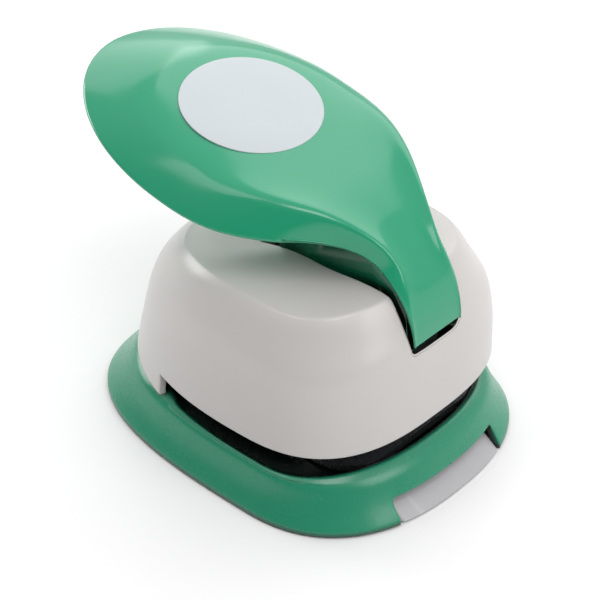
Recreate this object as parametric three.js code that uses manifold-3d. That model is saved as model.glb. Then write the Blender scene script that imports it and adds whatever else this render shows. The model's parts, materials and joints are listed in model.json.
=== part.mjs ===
// A lever craft punch for circles: millimetres, +Z up, +X towards the side where the paper goes in.
// The parts are built round the cutter's axis and the base's lower edge, and the group is moved at the end.
import * as THREE from "three";
import { mergeVertices } from "three/addons/utils/BufferGeometryUtils.js";
import Module from "manifold-3d";

const wasm = await Module();
wasm.setup();

// Clearances and cutting
const seatGap = 0.3; // between pieces that rest on or in each other
const runGap = 0.7; // between pieces that pass each other
const overrun = 2; // how far a cut runs past the face that it cuts

// Circle that is punched
const punchRadius = 19;
const dieClearance = 0.3;
const strokeLength = 8;
const paperGap = 5;

// Outlines seen from above share one widest place each
const ringSteps = 56;
const baseOutline = {
  middle: 8.7,
  front: 45.8,
  rear: -64.6,
  side: 44.1,
  frontPower: 2.4,
  rearPower: 2.95,
};

// Base: steep flare above a low rim, then a bevel up to a flat floor
const rimHeight = 1.6;
const flareHeight = 12.3;
const flareInset = { front: 6.2, side: 4.9, rear: 8.8 };
const flareHollow = 0.5; // how far the flare is dished half way up
const bevelHeight = 1.9;
const bevelInset = 2.2;
const floorHeight = 14.6;
const floorInset = 3;
const baseWall = 2.2;
const cavityHeight = 10;
const footRadius = 4.5;
const footThickness = 2;
const footStand = 0.5; // how far a foot stands below the base's rim
const footInset = { front: 16.8, frontSide: 14.1, rear: 22.6, rearSide: 19.1 }; // from the base's rim

// Steel die plate, let into the floor
const dieThickness = 2;
const dieProud = 0.2;
const dieOutline = { front: 33, rear: -40, side: 28, corner: 13 };

// Throat spacer behind the paper gap
const throatDepth = 3.5; // from the punched circle to the spacer's face
const spacerLength = 16;
const spacerHalfWidth = 20;

// Zinc guide frame above the paper gap
const frameOutline = { front: 32.5, rear: -39.5, side: 30.5, corner: 14 };
const framePlate = 3;
const guideWall = 3.2;
const guideRise = 3;
const earHalfWidth = 4.8;
const earBack = 3.6; // how far the ear's foot reaches behind the pivot
const earRadius = 4.8;
const postBossRise = 0.5;
const postBossRadius = 4.8;

// Pivot of the lever
const pivotSetback = 8.47; // from the front of the lever's neck
const pivotZ = 50;
const pinRadius = 2;
const pinHalfLength = 9.4;
const pinClearance = 0.1;
const clipRadius = 3.3;
const clipThickness = 0.8;

// Cutter and the pusher on it
const cutterHeight = 13.8;
const cutterWall = 2.6;
const cutterHollow = 8;
const shearRise = 1.4; // how much the edge rises from its lowest line to its highest
const cutterLift = 0.4; // how far the edge lies above the guide frame's underside at rest
const pusherRadius = 14;
const wingThickness = 3;
const wingHalfLength = 31;
const wingHalfWidth = 6.5;
const padThickness = 0.8;
const padHalfLength = 6;
const padHalfWidth = 9;

// Guide posts and return springs
const postSpread = 27;
const postRadius = 2;
const postTop = 45;
const wireRadius = 0.55;
const coilRadius = 3.4;
const springCurls = 4.5;
const stepsPerCurl = 8;
const wireSides = 5;

// Lever: side profile of its middle line, a straight paddle, a bend and a neck that hangs straight down
const labelX = -27.56;
const labelZ = 89.38;
const paddlePitch = 10.39; // degrees
const bendStart = 35.1; // along the middle line from the label's centre
const bendRadius = 36;
const neckFootZ = 47.7;
const leverWall = 2.2;
const rimOutline = { centre: 1.5, rear: 51.4, half: 36.2, neckAt: 62, neckHalf: 11, footHalf: 9.2 };
const creaseOutline = { centre: 8, rear: 36.5, half: 27.2, neckAt: 64, neckHalf: 7.8, footHalf: 8.9 };
const rimWarp = 1.35;
const creaseWarp = 1.2;
const rimDrop = 10.6; // rim below the top face at the paddle
const rimDropFoot = 0.5; // and at the neck's foot
const rimDropStart = 14; // along the middle line, where the rim starts to come closer
const rearTaper = 1.03;
const crownDrop = 1.5; // crease below the middle line at the paddle
const dishRise = 1.2; // crease above the middle line in the bend
const skirtBulge = 0.5;
const crownPower = 4;
const rearSteps = 10;
const frontSteps = 18;
const faceShares = [0, 0.3, 0.55, 0.78, 1];
const skirtShares = [0.35, 0.7, 1];
const heartSetback = 16; // the face's rear fan starts this far behind the widest place

// Lever: the two cheeks under the paddle, with the cams that press on the pusher
const cheekInner = 5.6;
const cheekThickness = 2.4;
const cheekRearX = -9.5;
const hubRadius = 5;
const camSteps = 6;
const camTail = 8;

// Label disc in its pocket
const labelRadius = 19;
const labelThickness = 0.5;
const pocketDepth = 0.8;

// Cover: outlines from the skirt to the roof, each with its heights at front, side and rear
const coverWall = 2.2;
const coverMiddle = 3;
const coverRearPower = 2.3;
const coverSkirt = { front: 38.2, side: 41.3, rear: -57.3, power: 2.6, frontZ: 13.3, sideZ: 13.3, rearZ: 13.3 };
const coverLip = { front: 37.9, side: 41, rear: -56.3, power: 2.6, frontZ: 21.3, sideZ: 20, rearZ: 19 };
const coverFlank = { front: 37.7, side: 40.2, rear: -53.5, power: 2.7, frontZ: 36, sideZ: 33, rearZ: 30 };
const coverHip = { front: 37.2, side: 38.5, rear: -50.6, power: 2.65, frontZ: 46.5, sideZ: 43.5, rearZ: 40 };
const coverTurn = { front: 34.4, side: 34.9, rear: -46.8, power: 2.5, frontZ: 53.5, sideZ: 51.6, rearZ: 46 };
const coverShoulder = { front: 30.4, side: 31.6, rear: -42.6, power: 2.6, frontZ: 60.2, sideZ: 57.2, rearZ: 50 };
const coverBrow = { front: 28, side: 28.2, rear: -39, power: 2.6, frontZ: 61.6, sideZ: 58.6, rearZ: 51.6 };
const coverRoof = { front: 20, side: 14, rear: -26, power: 2.5, frontZ: 62, sideZ: 59.8, rearZ: 52.4 };
const coverLevels = [
  coverSkirt,
  coverLip,
  coverFlank,
  coverHip,
  coverTurn,
  coverShoulder,
  coverBrow,
  coverRoof,
];
const notchX = -28; // the skirt reaches the base behind this line
const lipRearZ = 20.1;
const lipFrontZ = 21.5;
const slotHalfWidth = 10;
const slotRearX = -16.3;
const slotFootZ = 46.4;

// Chip tray in the base
const trayHalfWidth = 19.9;
const trayWall = 0.7;
const trayFloor = 1.2;
const trayFootZ = 0.3;
const trayTopZ = 6.2;
const trayRampInset = 8;
const trayTravel = 45;
const runnerLength = 12;
const runnerReach = 1.2;
const runnerHeight = 1;
const railThickness = 3.4;
const mouthHeight = 6.8;
const mouthHalfWidth = 20.5;
const mouthTaper = 0.5;

// Screws
const screwRadius = 1.5;
const screwHeadRadius = 2.8;
const screwHeadHeight = 2.2;
const screwHeadZ = 2.6;
const screwBossRadius = 4;
const frameScrews = { front: -27, rear: -35.5, side: 14 };
const coverScrewX = -46.5;
const coverScrewSide = 11;
const coverBossRadius = 3.6;
const coverScrewDepth = 8;

// Places that follow from the sizes above
const pitch = THREE.MathUtils.degToRad(paddlePitch);
const bendStartX = labelX + bendStart * Math.cos(pitch);
const bendStartZ = labelZ - bendStart * Math.sin(pitch);
const bendCentreX = bendStartX - bendRadius * Math.sin(pitch);
const bendCentreZ = bendStartZ - bendRadius * Math.cos(pitch);
const bendLength = bendRadius * (Math.PI / 2 - pitch);
const neckFoot = bendStart + bendLength + bendCentreZ - neckFootZ;
const pivotX = bendCentreX + bendRadius - pivotSetback;
const dieTop = floorHeight + dieProud;
const dieFoot = dieTop - dieThickness;
const pocketFloor = dieFoot - seatGap;
const frameFoot = dieTop + paperGap;
const frameTop = frameFoot + framePlate;
const cutterFoot = frameFoot + cutterLift;
const cutterTop = cutterFoot + cutterHeight;
const camDrop = 8; // height from the pivot down to the cams at rest
const padTop = pivotZ - camDrop - seatGap;
const wingTop = padTop - padThickness;
const wingFoot = wingTop - wingThickness;
const pressAngle = strokeLength / pivotX;
const dieRadius = punchRadius + dieClearance;
const throatX = -punchRadius - throatDepth;
const cheekOuter = cheekInner + cheekThickness;
const trayRearX = -punchRadius - trayWall - dieClearance;

// Materials
const greenAbs = new THREE.MeshStandardMaterial({ color: 0x35a079, roughness: 0.28, metalness: 0 });
const greyAbs = new THREE.MeshStandardMaterial({ color: 0xc9c5c4, roughness: 0.32, metalness: 0 });
const trayAbs = new THREE.MeshStandardMaterial({ color: 0xaeadb0, roughness: 0.4, metalness: 0 });
const paleVinyl = new THREE.MeshStandardMaterial({ color: 0xdae2e6, roughness: 0.5, metalness: 0 });
const zincCasting = new THREE.MeshStandardMaterial({ color: 0x9a9ca0, roughness: 0.5, metalness: 0.9 });
const groundSteel = new THREE.MeshStandardMaterial({ color: 0xb9bcc0, roughness: 0.25, metalness: 1 });
const springSteel = new THREE.MeshStandardMaterial({ color: 0x8f9296, roughness: 0.3, metalness: 1 });
const darkAcetal = new THREE.MeshStandardMaterial({ color: 0x3a3b3d, roughness: 0.5, metalness: 0 });
const blackRubber = new THREE.MeshStandardMaterial({ color: 0x1c1c1c, roughness: 0.9, metalness: 0 });

// Solids: geometry in, closed body out

function solidOf(geometry) {
  const bare = geometry.clone();
  bare.deleteAttribute("normal");
  bare.deleteAttribute("uv");
  const merged = mergeVertices(bare, 1e-4);
  return new wasm.Manifold(
    new wasm.Mesh({
      numProp: 3,
      vertProperties: new Float32Array(merged.attributes.position.array),
      triVerts: new Uint32Array(merged.index.array),
    }),
  );
}

function piece(name, solid, material) {
  const mesh = solid.getMesh();
  const geometry = new THREE.BufferGeometry();
  geometry.setAttribute("position", new THREE.BufferAttribute(mesh.vertProperties, 3));
  geometry.setIndex(new THREE.BufferAttribute(mesh.triVerts, 1));
  geometry.computeVertexNormals();
  const made = new THREE.Mesh(geometry, material);
  made.name = name;
  return made;
}

function cut(body, ...tools) {
  return tools.reduce((left, tool) => left.subtract(tool), body);
}

function join(body, ...others) {
  return others.reduce((whole, other) => whole.add(other), body);
}

// The largest closed body, without slivers left between two walls
function largest(body) {
  return body.decompose().reduce((best, other) => (other.volume() > best.volume() ? other : best));
}

function box(fromX, toX, fromY, toY, fromZ, toZ) {
  const geometry = new THREE.BoxGeometry(toX - fromX, toY - fromY, toZ - fromZ);
  geometry.translate((fromX + toX) / 2, (fromY + toY) / 2, (fromZ + toZ) / 2);
  return solidOf(geometry);
}

function rod(x, y, fromZ, toZ, radius, sides = 32) {
  const geometry = new THREE.CylinderGeometry(radius, radius, toZ - fromZ, sides);
  geometry.rotateX(Math.PI / 2);
  geometry.translate(x, y, (fromZ + toZ) / 2);
  return solidOf(geometry);
}

function crossRod(x, z, fromY, toY, radius, sides = 24) {
  const geometry = new THREE.CylinderGeometry(radius, radius, toY - fromY, sides);
  geometry.translate(x, (fromY + toY) / 2, z);
  return solidOf(geometry);
}

// A side profile of [x, z] points, as thick as from one y to the other
function sidePlate(profile, fromY, toY) {
  const shape = new THREE.Shape(profile.map(([x, z]) => new THREE.Vector2(x, z)));
  const geometry = new THREE.ExtrudeGeometry(shape, { depth: toY - fromY, bevelEnabled: false });
  geometry.rotateX(Math.PI / 2);
  geometry.translate(0, toY, 0);
  return solidOf(geometry);
}

// A flat plate with round corners, seen from above
function roundPlate({ front, rear, side, corner }, fromZ, toZ) {
  const shape = new THREE.Shape();
  shape.absarc(front - corner, side - corner, corner, 0, Math.PI / 2);
  shape.absarc(rear + corner, side - corner, corner, Math.PI / 2, Math.PI);
  shape.absarc(rear + corner, corner - side, corner, Math.PI, 1.5 * Math.PI);
  shape.absarc(front - corner, corner - side, corner, 1.5 * Math.PI, 2 * Math.PI);
  const geometry = new THREE.ExtrudeGeometry(shape, {
    depth: toZ - fromZ,
    bevelEnabled: false,
    curveSegments: 8,
  });
  geometry.translate(0, 0, fromZ);
  return solidOf(geometry);
}

// A closed ring of points: two half super-ellipses that meet at the widest place
function ring(outline, heights) {
  const points = [];
  for (let i = 0; i < ringSteps; i++) {
    const turn = (2 * Math.PI * i) / ringSteps;
    const along = Math.cos(turn);
    const across = Math.sin(turn);
    const ahead = along >= 0;
    const power = ahead ? outline.frontPower : outline.rearPower;
    const reach = ahead ? outline.front - outline.middle : outline.middle - outline.rear;
    const endZ = ahead ? heights.frontZ : heights.rearZ;
    const x = outline.middle + reach * Math.sign(along) * Math.abs(along) ** (2 / power);
    const y = outline.side * Math.sign(across) * Math.abs(across) ** (2 / power);
    points.push(new THREE.Vector3(x, y, heights.sideZ + (endZ - heights.sideZ) * along ** 2));
  }
  return points;
}

function level(z) {
  return { frontZ: z, sideZ: z, rearZ: z };
}

// A solid through rings of equal count, from the lowest to the highest, closed at both ends
function loft(rings) {
  const count = rings[0].length;
  const points = rings.flat();
  const ends = [rings[0], rings.at(-1)];
  for (const end of ends) {
    const centre = new THREE.Vector3();
    end.forEach((p) => centre.add(p));
    points.push(centre.divideScalar(count));
  }
  const foot = points.length - 2;
  const head = points.length - 1;
  const index = [];
  const last = (rings.length - 1) * count;
  for (let i = 0; i < count; i++) {
    const next = (i + 1) % count;
    index.push(foot, next, i);
    index.push(head, last + i, last + next);
    for (let k = 0; k + 1 < rings.length; k++) {
      const a = k * count + i;
      const b = k * count + next;
      index.push(a, b, b + count);
      index.push(a, b + count, a + count);
    }
  }
  const geometry = new THREE.BufferGeometry().setFromPoints(points);
  geometry.setIndex(index);
  return solidOf(geometry);
}

// Base

function insetOutline(inset) {
  return {
    ...baseOutline,
    front: baseOutline.front - inset.front,
    rear: baseOutline.rear + inset.rear,
    side: baseOutline.side - inset.side,
  };
}

function even(inset) {
  return { front: inset, side: inset, rear: inset };
}

function flareShare(share, extra) {
  return {
    front: flareInset.front * share + extra,
    side: flareInset.side * share + extra,
    rear: flareInset.rear * share + extra,
  };
}

// The base's outer form, grown by a gap where another piece has to clear it
function baseForm(gap) {
  const middle = (rimHeight + flareHeight) / 2;
  return loft([
    ring(insetOutline(even(-gap)), level(-gap)),
    ring(insetOutline(even(-gap)), level(rimHeight)),
    ring(insetOutline(flareShare(1 / 2, flareHollow - gap)), level(middle)),
    ring(insetOutline(flareShare(1, -gap)), level(flareHeight + gap)),
    ring(insetOutline(flareShare(1, bevelInset - gap)), level(flareHeight + bevelHeight + gap)),
    ring(insetOutline(flareShare(1, floorInset - gap)), level(floorHeight + gap)),
  ]);
}

function baseCavity() {
  return loft([
    ring(insetOutline(even(baseWall)), level(-overrun)),
    ring(insetOutline(even(baseWall)), level(rimHeight)),
    ring(insetOutline(flareShare(0.75, baseWall)), level(cavityHeight)),
  ]);
}

function footSpots() {
  const spots = [];
  for (const side of [-1, 1]) {
    spots.push([baseOutline.front - footInset.front, side * (baseOutline.side - footInset.frontSide)]);
    spots.push([baseOutline.rear + footInset.rear, side * (baseOutline.side - footInset.rearSide)]);
  }
  return spots;
}

function frameScrewSpots() {
  const spots = [];
  for (const side of [-1, 1]) {
    spots.push([frameScrews.front, side * frameScrews.side]);
    spots.push([frameScrews.rear, side * frameScrews.side]);
  }
  return spots;
}

function coverScrewSpots() {
  return [-1, 1].map((side) => [coverScrewX, side * coverScrewSide]);
}

// What stands inside the base: screw bosses, the feet's pads, the tray's rails and its stop
function baseInside() {
  const bossFoot = screwHeadZ + screwHeadHeight + seatGap;
  const bossTop = cavityHeight + seatGap;
  const stop = box(
    trayRearX - seatGap - railThickness,
    trayRearX - seatGap,
    -trayHalfWidth - runnerReach,
    trayHalfWidth + runnerReach,
    trayFootZ,
    bossTop,
  );
  const inside = [stop];
  for (const [x, y] of [...frameScrewSpots(), ...coverScrewSpots()])
    inside.push(rod(x, y, bossFoot, bossTop, screwBossRadius, 20));
  for (const [x, y] of footSpots())
    inside.push(rod(x, y, footThickness - footStand + seatGap, bossTop, footRadius, 20));
  for (const side of [-1, 1]) {
    const inner = side * (trayHalfWidth + seatGap);
    const outer = side * (trayHalfWidth + seatGap + railThickness);
    const rail = box(
      trayRearX - seatGap,
      baseOutline.front,
      Math.min(inner, outer),
      Math.max(inner, outer),
      trayFootZ,
      bossTop,
    );
    const grooveReach = side * (trayHalfWidth + runnerReach + seatGap);
    const groove = box(
      trayRearX - seatGap,
      trayRearX + runnerLength + trayTravel + seatGap,
      Math.min(0, grooveReach),
      Math.max(0, grooveReach),
      trayTopZ - runnerHeight - seatGap,
      trayTopZ + seatGap,
    );
    inside.push(cut(rail, groove));
  }
  return join(...inside).intersect(baseForm(-baseWall / 2));
}

function baseShell() {
  let shell = join(cut(baseForm(0), baseCavity()), baseInside());
  const mouth = trayMouth();
  const pocket = roundPlate(
    {
      front: dieOutline.front + seatGap,
      rear: dieOutline.rear - seatGap,
      side: dieOutline.side + seatGap,
      corner: dieOutline.corner,
    },
    pocketFloor,
    floorHeight + overrun,
  );
  shell = cut(shell, mouth, pocket, rod(0, 0, -overrun, floorHeight, dieRadius + runGap, 48));
  for (const [x, y] of [...frameScrewSpots(), ...coverScrewSpots()])
    shell = cut(shell, rod(x, y, -overrun, floorHeight + overrun, screwRadius + seatGap, 16));
  return shell;
}

// The tray's mouth in the base's front, a little narrower at the top
function trayMouth() {
  const foot = mouthHalfWidth;
  const head = mouthHalfWidth - mouthTaper;
  const shape = new THREE.Shape([
    new THREE.Vector2(-foot, -overrun),
    new THREE.Vector2(foot, -overrun),
    new THREE.Vector2(foot, trayTopZ - runnerHeight),
    new THREE.Vector2(head, mouthHeight),
    new THREE.Vector2(-head, mouthHeight),
    new THREE.Vector2(-foot, trayTopZ - runnerHeight),
  ]);
  const length = baseOutline.front + overrun - trayRearX;
  const geometry = new THREE.ExtrudeGeometry(shape, { depth: length, bevelEnabled: false });
  geometry.rotateX(Math.PI / 2);
  geometry.rotateZ(Math.PI / 2);
  geometry.translate(trayRearX, 0, 0);
  return solidOf(geometry);
}

// Chip tray: a shallow drawer whose front is a ramp that follows the base's outline
function chipTray() {
  const front = baseOutline.front + overrun;
  const rise = trayTopZ - trayFootZ;
  const wedge = (inset, height) =>
    loft([
      ring(insetOutline(even(inset)), level(trayFootZ)),
      ring(insetOutline(even(inset + (trayRampInset * height) / rise)), level(trayFootZ + height)),
    ]);
  const outer = box(trayRearX, front, -trayHalfWidth, trayHalfWidth, trayFootZ, trayTopZ);
  const innerSide = trayHalfWidth - trayWall;
  const hollow = box(
    trayRearX + trayWall,
    front,
    -innerSide,
    innerSide,
    trayFootZ + trayFloor,
    trayTopZ + overrun,
  );
  let tray = cut(outer.intersect(wedge(0, rise)), hollow.intersect(wedge(2 * trayFloor, rise + overrun)));
  for (const side of [-1, 1]) {
    const inner = side * (trayHalfWidth - trayWall / 2);
    const tip = side * (trayHalfWidth + runnerReach);
    const runner = box(
      trayRearX,
      trayRearX + runnerLength,
      Math.min(inner, tip),
      Math.max(inner, tip),
      trayTopZ - runnerHeight,
      trayTopZ,
    );
    tray = join(tray, runner);
  }
  return tray;
}

// Steel and zinc

function diePlate() {
  let plate = roundPlate(dieOutline, dieFoot, dieTop);
  plate = cut(plate, rod(0, 0, dieFoot - overrun, dieTop + overrun, dieRadius, 64));
  for (const [x, y] of frameScrewSpots())
    plate = cut(plate, rod(x, y, dieFoot - overrun, dieTop + overrun, screwRadius + seatGap, 16));
  return plate;
}

function throatSpacer() {
  const foot = dieTop + seatGap;
  const head = frameFoot - seatGap;
  let spacer = box(throatX - spacerLength, throatX, -spacerHalfWidth, spacerHalfWidth, foot, head);
  for (const [x, y] of frameScrewSpots())
    spacer = cut(spacer, rod(x, y, foot - overrun, head + overrun, screwRadius + seatGap, 16));
  return spacer;
}

function guideFrame() {
  let frame = roundPlate(frameOutline, frameFoot, frameTop);
  const barrel = punchRadius + dieClearance;
  frame = join(frame, rod(0, 0, frameFoot, frameTop + guideRise, barrel + guideWall, 64));
  const earTop = [];
  for (let i = 0; i <= 12; i++) {
    const turn = (Math.PI * i) / 12;
    earTop.push([pivotX + earRadius * Math.cos(turn), pivotZ + earRadius * Math.sin(turn)]);
  }
  const ear = [
    [pivotX - earRadius - earBack, frameFoot + framePlate / 2],
    [pivotX + earRadius, frameFoot + framePlate / 2],
    ...earTop,
    [pivotX - earRadius - earBack, frameTop + guideRise],
  ];
  frame = join(frame, sidePlate(ear, -earHalfWidth, earHalfWidth));
  for (const side of [-1, 1]) {
    frame = join(frame, rod(0, side * postSpread, frameFoot, frameTop + postBossRise, postBossRadius, 24));
  }
  frame = cut(frame, rod(0, 0, frameFoot - overrun, frameTop + guideRise + overrun, barrel, 64));
  frame = cut(frame, crossRod(pivotX, pivotZ, -earHalfWidth - overrun, earHalfWidth + overrun, pinRadius + pinClearance));
  for (const side of [-1, 1]) {
    const hole = rod(0, side * postSpread, frameFoot + framePlate / 3, frameTop + overrun, postRadius + seatGap, 24);
    frame = cut(frame, hole);
  }
  for (const [x, y] of frameScrewSpots())
    frame = cut(frame, rod(x, y, frameFoot - overrun, frameTop - framePlate / 4, screwRadius + seatGap, 16));
  return frame;
}

function pivotPin() {
  return crossRod(pivotX, pivotZ, -pinHalfLength, pinHalfLength, pinRadius);
}

function pinClip(side) {
  const near = side * (cheekOuter + seatGap);
  const far = near + side * clipThickness;
  const fromY = Math.min(near, far);
  const toY = Math.max(near, far);
  const disc = crossRod(pivotX, pivotZ, fromY, toY, clipRadius, 28);
  const bore = crossRod(pivotX, pivotZ, fromY - overrun, toY + overrun, pinRadius + pinClearance);
  const mouth = box(
    pivotX - clipRadius - overrun,
    pivotX,
    fromY - overrun,
    toY + overrun,
    pivotZ - pinRadius,
    pivotZ + pinRadius,
  );
  return cut(disc, bore, mouth);
}

// Cutter: a thick steel cup whose lower edge rises to both sides in a shallow V
function cutter() {
  const outer = rod(0, 0, cutterFoot, cutterTop, punchRadius, 64);
  const inner = rod(0, 0, cutterFoot - overrun, cutterFoot + cutterHollow, punchRadius - cutterWall, 64);
  const reach = punchRadius + overrun;
  const shear = sidePlate(
    [
      [-reach, cutterFoot - overrun],
      [reach, cutterFoot - overrun],
      [reach, cutterFoot + shearRise],
      [0, cutterFoot],
      [-reach, cutterFoot + shearRise],
    ],
    -reach,
    reach,
  );
  return cut(outer, inner, shear);
}

function pusher() {
  const foot = cutterTop + seatGap;
  const hub = rod(0, 0, foot, wingFoot + wingThickness / 2, pusherRadius, 40);
  const wing = roundPlate(
    { front: wingHalfWidth, rear: -wingHalfWidth, side: wingHalfLength, corner: wingHalfWidth },
    wingFoot,
    wingTop,
  );
  const pad = box(-padHalfLength, padHalfLength, -padHalfWidth, padHalfWidth, wingTop - padThickness, padTop);
  let body = join(hub, wing, pad);
  for (const side of [-1, 1]) {
    const hole = rod(0, side * postSpread, wingFoot - overrun, wingTop + overrun, postRadius + runGap, 24);
    body = cut(body, hole);
  }
  return body;
}

function guidePost(side) {
  return rod(0, side * postSpread, frameFoot + framePlate / 3 + seatGap, postTop, postRadius, 24);
}

// Return spring: one tube wound round its post, with an end turned flat at both seats
const springFoot = frameTop + postBossRise + seatGap + wireRadius;
const springHead = wingFoot - seatGap - wireRadius;

function springPath() {
  const steps = Math.round(springCurls * stepsPerCurl);
  const lead = 2 * wireRadius;
  const points = [];
  for (let i = 0; i <= steps; i++) {
    const turn = (2 * Math.PI * i) / stepsPerCurl;
    const z = springFoot + ((springHead - springFoot) * i) / steps;
    points.push(new THREE.Vector3(coilRadius * Math.cos(turn), coilRadius * Math.sin(turn), z));
  }
  const startWay = new THREE.Vector3(0, -lead, 0);
  const endTurn = 2 * Math.PI * springCurls;
  const endWay = new THREE.Vector3(-Math.sin(endTurn), Math.cos(endTurn), 0).multiplyScalar(lead);
  points.unshift(points[0].clone().add(startWay));
  points.push(points.at(-1).clone().add(endWay));
  return points;
}

function leastSelfGap(points) {
  let least = Infinity;
  for (let i = 0; i < points.length; i++)
    for (let k = i + Math.round(stepsPerCurl / 2); k < points.length; k++)
      least = Math.min(least, points[i].distanceTo(points[k]) - 2 * wireRadius);
  return least;
}

function returnSpring(side) {
  const path = springPath();
  const points = [];
  const index = [];
  path.forEach((p, i) => {
    const before = path[Math.max(i - 1, 0)];
    const after = path[Math.min(i + 1, path.length - 1)];
    const along = after.clone().sub(before).normalize();
    const outward = new THREE.Vector3(p.x, p.y, 0).normalize();
    const across = new THREE.Vector3().crossVectors(along, outward).normalize();
    outward.crossVectors(across, along);
    for (let k = 0; k < wireSides; k++) {
      const turn = (2 * Math.PI * k) / wireSides;
      const spot = p.clone();
      spot.addScaledVector(outward, wireRadius * Math.cos(turn));
      spot.addScaledVector(across, wireRadius * Math.sin(turn));
      points.push(spot);
    }
  });
  for (let i = 0; i + 1 < path.length; i++)
    for (let k = 0; k < wireSides; k++) {
      const a = i * wireSides + k;
      const b = i * wireSides + ((k + 1) % wireSides);
      index.push(a, b, b + wireSides);
      index.push(a, b + wireSides, a + wireSides);
    }
  const last = (path.length - 1) * wireSides;
  for (let k = 1; k + 1 < wireSides; k++) {
    index.push(0, k + 1, k);
    index.push(last, last + k, last + k + 1);
  }
  const geometry = new THREE.BufferGeometry().setFromPoints(points);
  geometry.setIndex(index);
  geometry.translate(0, side * postSpread, 0);
  return solidOf(geometry);
}

// Lever

function smooth(value) {
  const t = Math.min(Math.max(value, 0), 1);
  return t * t * (3 - 2 * t);
}

// Place on the lever's middle line, with the way out of its top face
function middleLine(s) {
  if (s <= bendStart) {
    const out = new THREE.Vector2(Math.sin(pitch), Math.cos(pitch));
    return { x: labelX + s * Math.cos(pitch), z: labelZ - s * Math.sin(pitch), out };
  }
  if (s <= bendStart + bendLength) {
    const tilt = pitch + (s - bendStart) / bendRadius;
    const out = new THREE.Vector2(Math.sin(tilt), Math.cos(tilt));
    return { x: bendCentreX + bendRadius * out.x, z: bendCentreZ + bendRadius * out.y, out };
  }
  const below = s - bendStart - bendLength;
  return { x: bendCentreX + bendRadius, z: bendCentreZ - below, out: new THREE.Vector2(1, 0) };
}

function offLine(s, y, rise) {
  const at = middleLine(s);
  return new THREE.Vector3(at.x + at.out.x * rise, y, at.z + at.out.y * rise);
}

function halfWidth(outline, warp, s) {
  if (s >= outline.neckAt) {
    const share = (s - outline.neckAt) / (neckFoot - outline.neckAt);
    return outline.neckHalf + (outline.footHalf - outline.neckHalf) * share;
  }
  const share = Math.max((s - outline.centre) / (outline.neckAt - outline.centre), 0) ** warp;
  return outline.half + (outline.neckHalf - outline.half) * smooth(share);
}

function rimDepth(s) {
  return rimDrop + (rimDropFoot - rimDrop) * smooth((s - rimDropStart) / (neckFoot - rimDropStart));
}

function creaseRise(s) {
  const intoBend = smooth((s - creaseOutline.centre) / (bendStart - creaseOutline.centre));
  const intoNeck = smooth((s - bendStart - bendLength / 3) / (bendLength / 2));
  return crownDrop * (intoBend - 1) + dishRise * intoBend * (1 - intoNeck);
}

// One crosswise line of the lever's near half, from the middle of the top face out to the rim
function crossLine(step) {
  const atRear = step <= rearSteps;
  const turn = (Math.PI / 2) * Math.min(step / rearSteps, 1);
  const share = (step - rearSteps) / frontSteps;
  const place = (outline) =>
    atRear
      ? outline.centre - outline.rear * Math.cos(turn)
      : outline.centre + (neckFoot - outline.centre) * share;
  const width = (outline, warp, s) => (atRear ? outline.half * Math.sin(turn) ** rearTaper : halfWidth(outline, warp, s));
  const creaseS = place(creaseOutline);
  const rimS = place(rimOutline);
  const heartS = atRear ? creaseOutline.centre - heartSetback * Math.cos(turn) : creaseS;
  const creaseY = width(creaseOutline, creaseWarp, creaseS);
  const rimY = width(rimOutline, rimWarp, rimS);
  const line = faceShares.map((t) => {
    const s = heartS + (creaseS - heartS) * t;
    return offLine(s, -creaseY * t, creaseRise(creaseS) * t ** crownPower);
  });
  for (const t of skirtShares) {
    const s = creaseS + (rimS - creaseS) * t;
    const y = creaseY + (rimY - creaseY) * t;
    const depth = creaseRise(creaseS) * (1 - t) - rimDepth(rimS) * t;
    const bulge = skirtBulge * 4 * t * (1 - t);
    line.push(offLine(s, -y, depth + bulge));
  }
  return line;
}

function leverSkin() {
  const lines = [];
  for (let step = 0; step <= rearSteps + frontSteps; step++) lines.push(crossLine(step));
  const points = [];
  const quad = (a, b, c, d) => points.push(a, b, c, a, c, d);
  for (let i = 0; i + 1 < lines.length; i++)
    for (let k = 0; k + 1 < lines[i].length; k++) {
      const corners = [lines[i][k], lines[i][k + 1], lines[i + 1][k + 1], lines[i + 1][k]];
      quad(...corners);
      quad(...corners.map((p) => new THREE.Vector3(p.x, -p.y, p.z)).reverse());
    }
  const geometry = new THREE.BufferGeometry().setFromPoints(points);
  return mergeVertices(geometry, 1e-4);
}

// A thick sheet under a skin: the skin, its copy one wall deeper, and the edge between them
function thicken(skin, wall) {
  skin.computeVertexNormals();
  const position = skin.attributes.position;
  const normal = skin.attributes.normal;
  const count = position.count;
  const points = [];
  for (const depth of [0, wall])
    for (let i = 0; i < count; i++) {
      const p = new THREE.Vector3().fromBufferAttribute(position, i);
      points.push(p.addScaledVector(new THREE.Vector3().fromBufferAttribute(normal, i), -depth));
    }
  const index = [];
  const edges = new Map();
  const faces = skin.index.array;
  for (let i = 0; i < faces.length; i += 3) {
    const [a, b, c] = [faces[i], faces[i + 1], faces[i + 2]];
    if (a === b || b === c || c === a) continue;
    index.push(a, b, c);
    index.push(count + a, count + c, count + b);
    for (const [from, to] of [[a, b], [b, c], [c, a]]) {
      const twin = to + "," + from;
      if (edges.has(twin)) edges.delete(twin);
      else edges.set(from + "," + to, [from, to]);
    }
  }
  for (const [from, to] of edges.values()) {
    index.push(to, from, count + from);
    index.push(to, count + from, count + to);
  }
  const geometry = new THREE.BufferGeometry().setFromPoints(points);
  geometry.setIndex(index);
  return solidOf(geometry);
}

// The cam's edge is an involute round the pivot, so that it presses on the pusher over the cutter's axis
function camPoint(angle) {
  const string = camDrop + pivotX * angle;
  return [
    pivotX - pivotX * Math.cos(angle) - string * Math.sin(angle),
    pivotZ + pivotX * Math.sin(angle) - string * Math.cos(angle),
  ];
}

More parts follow.
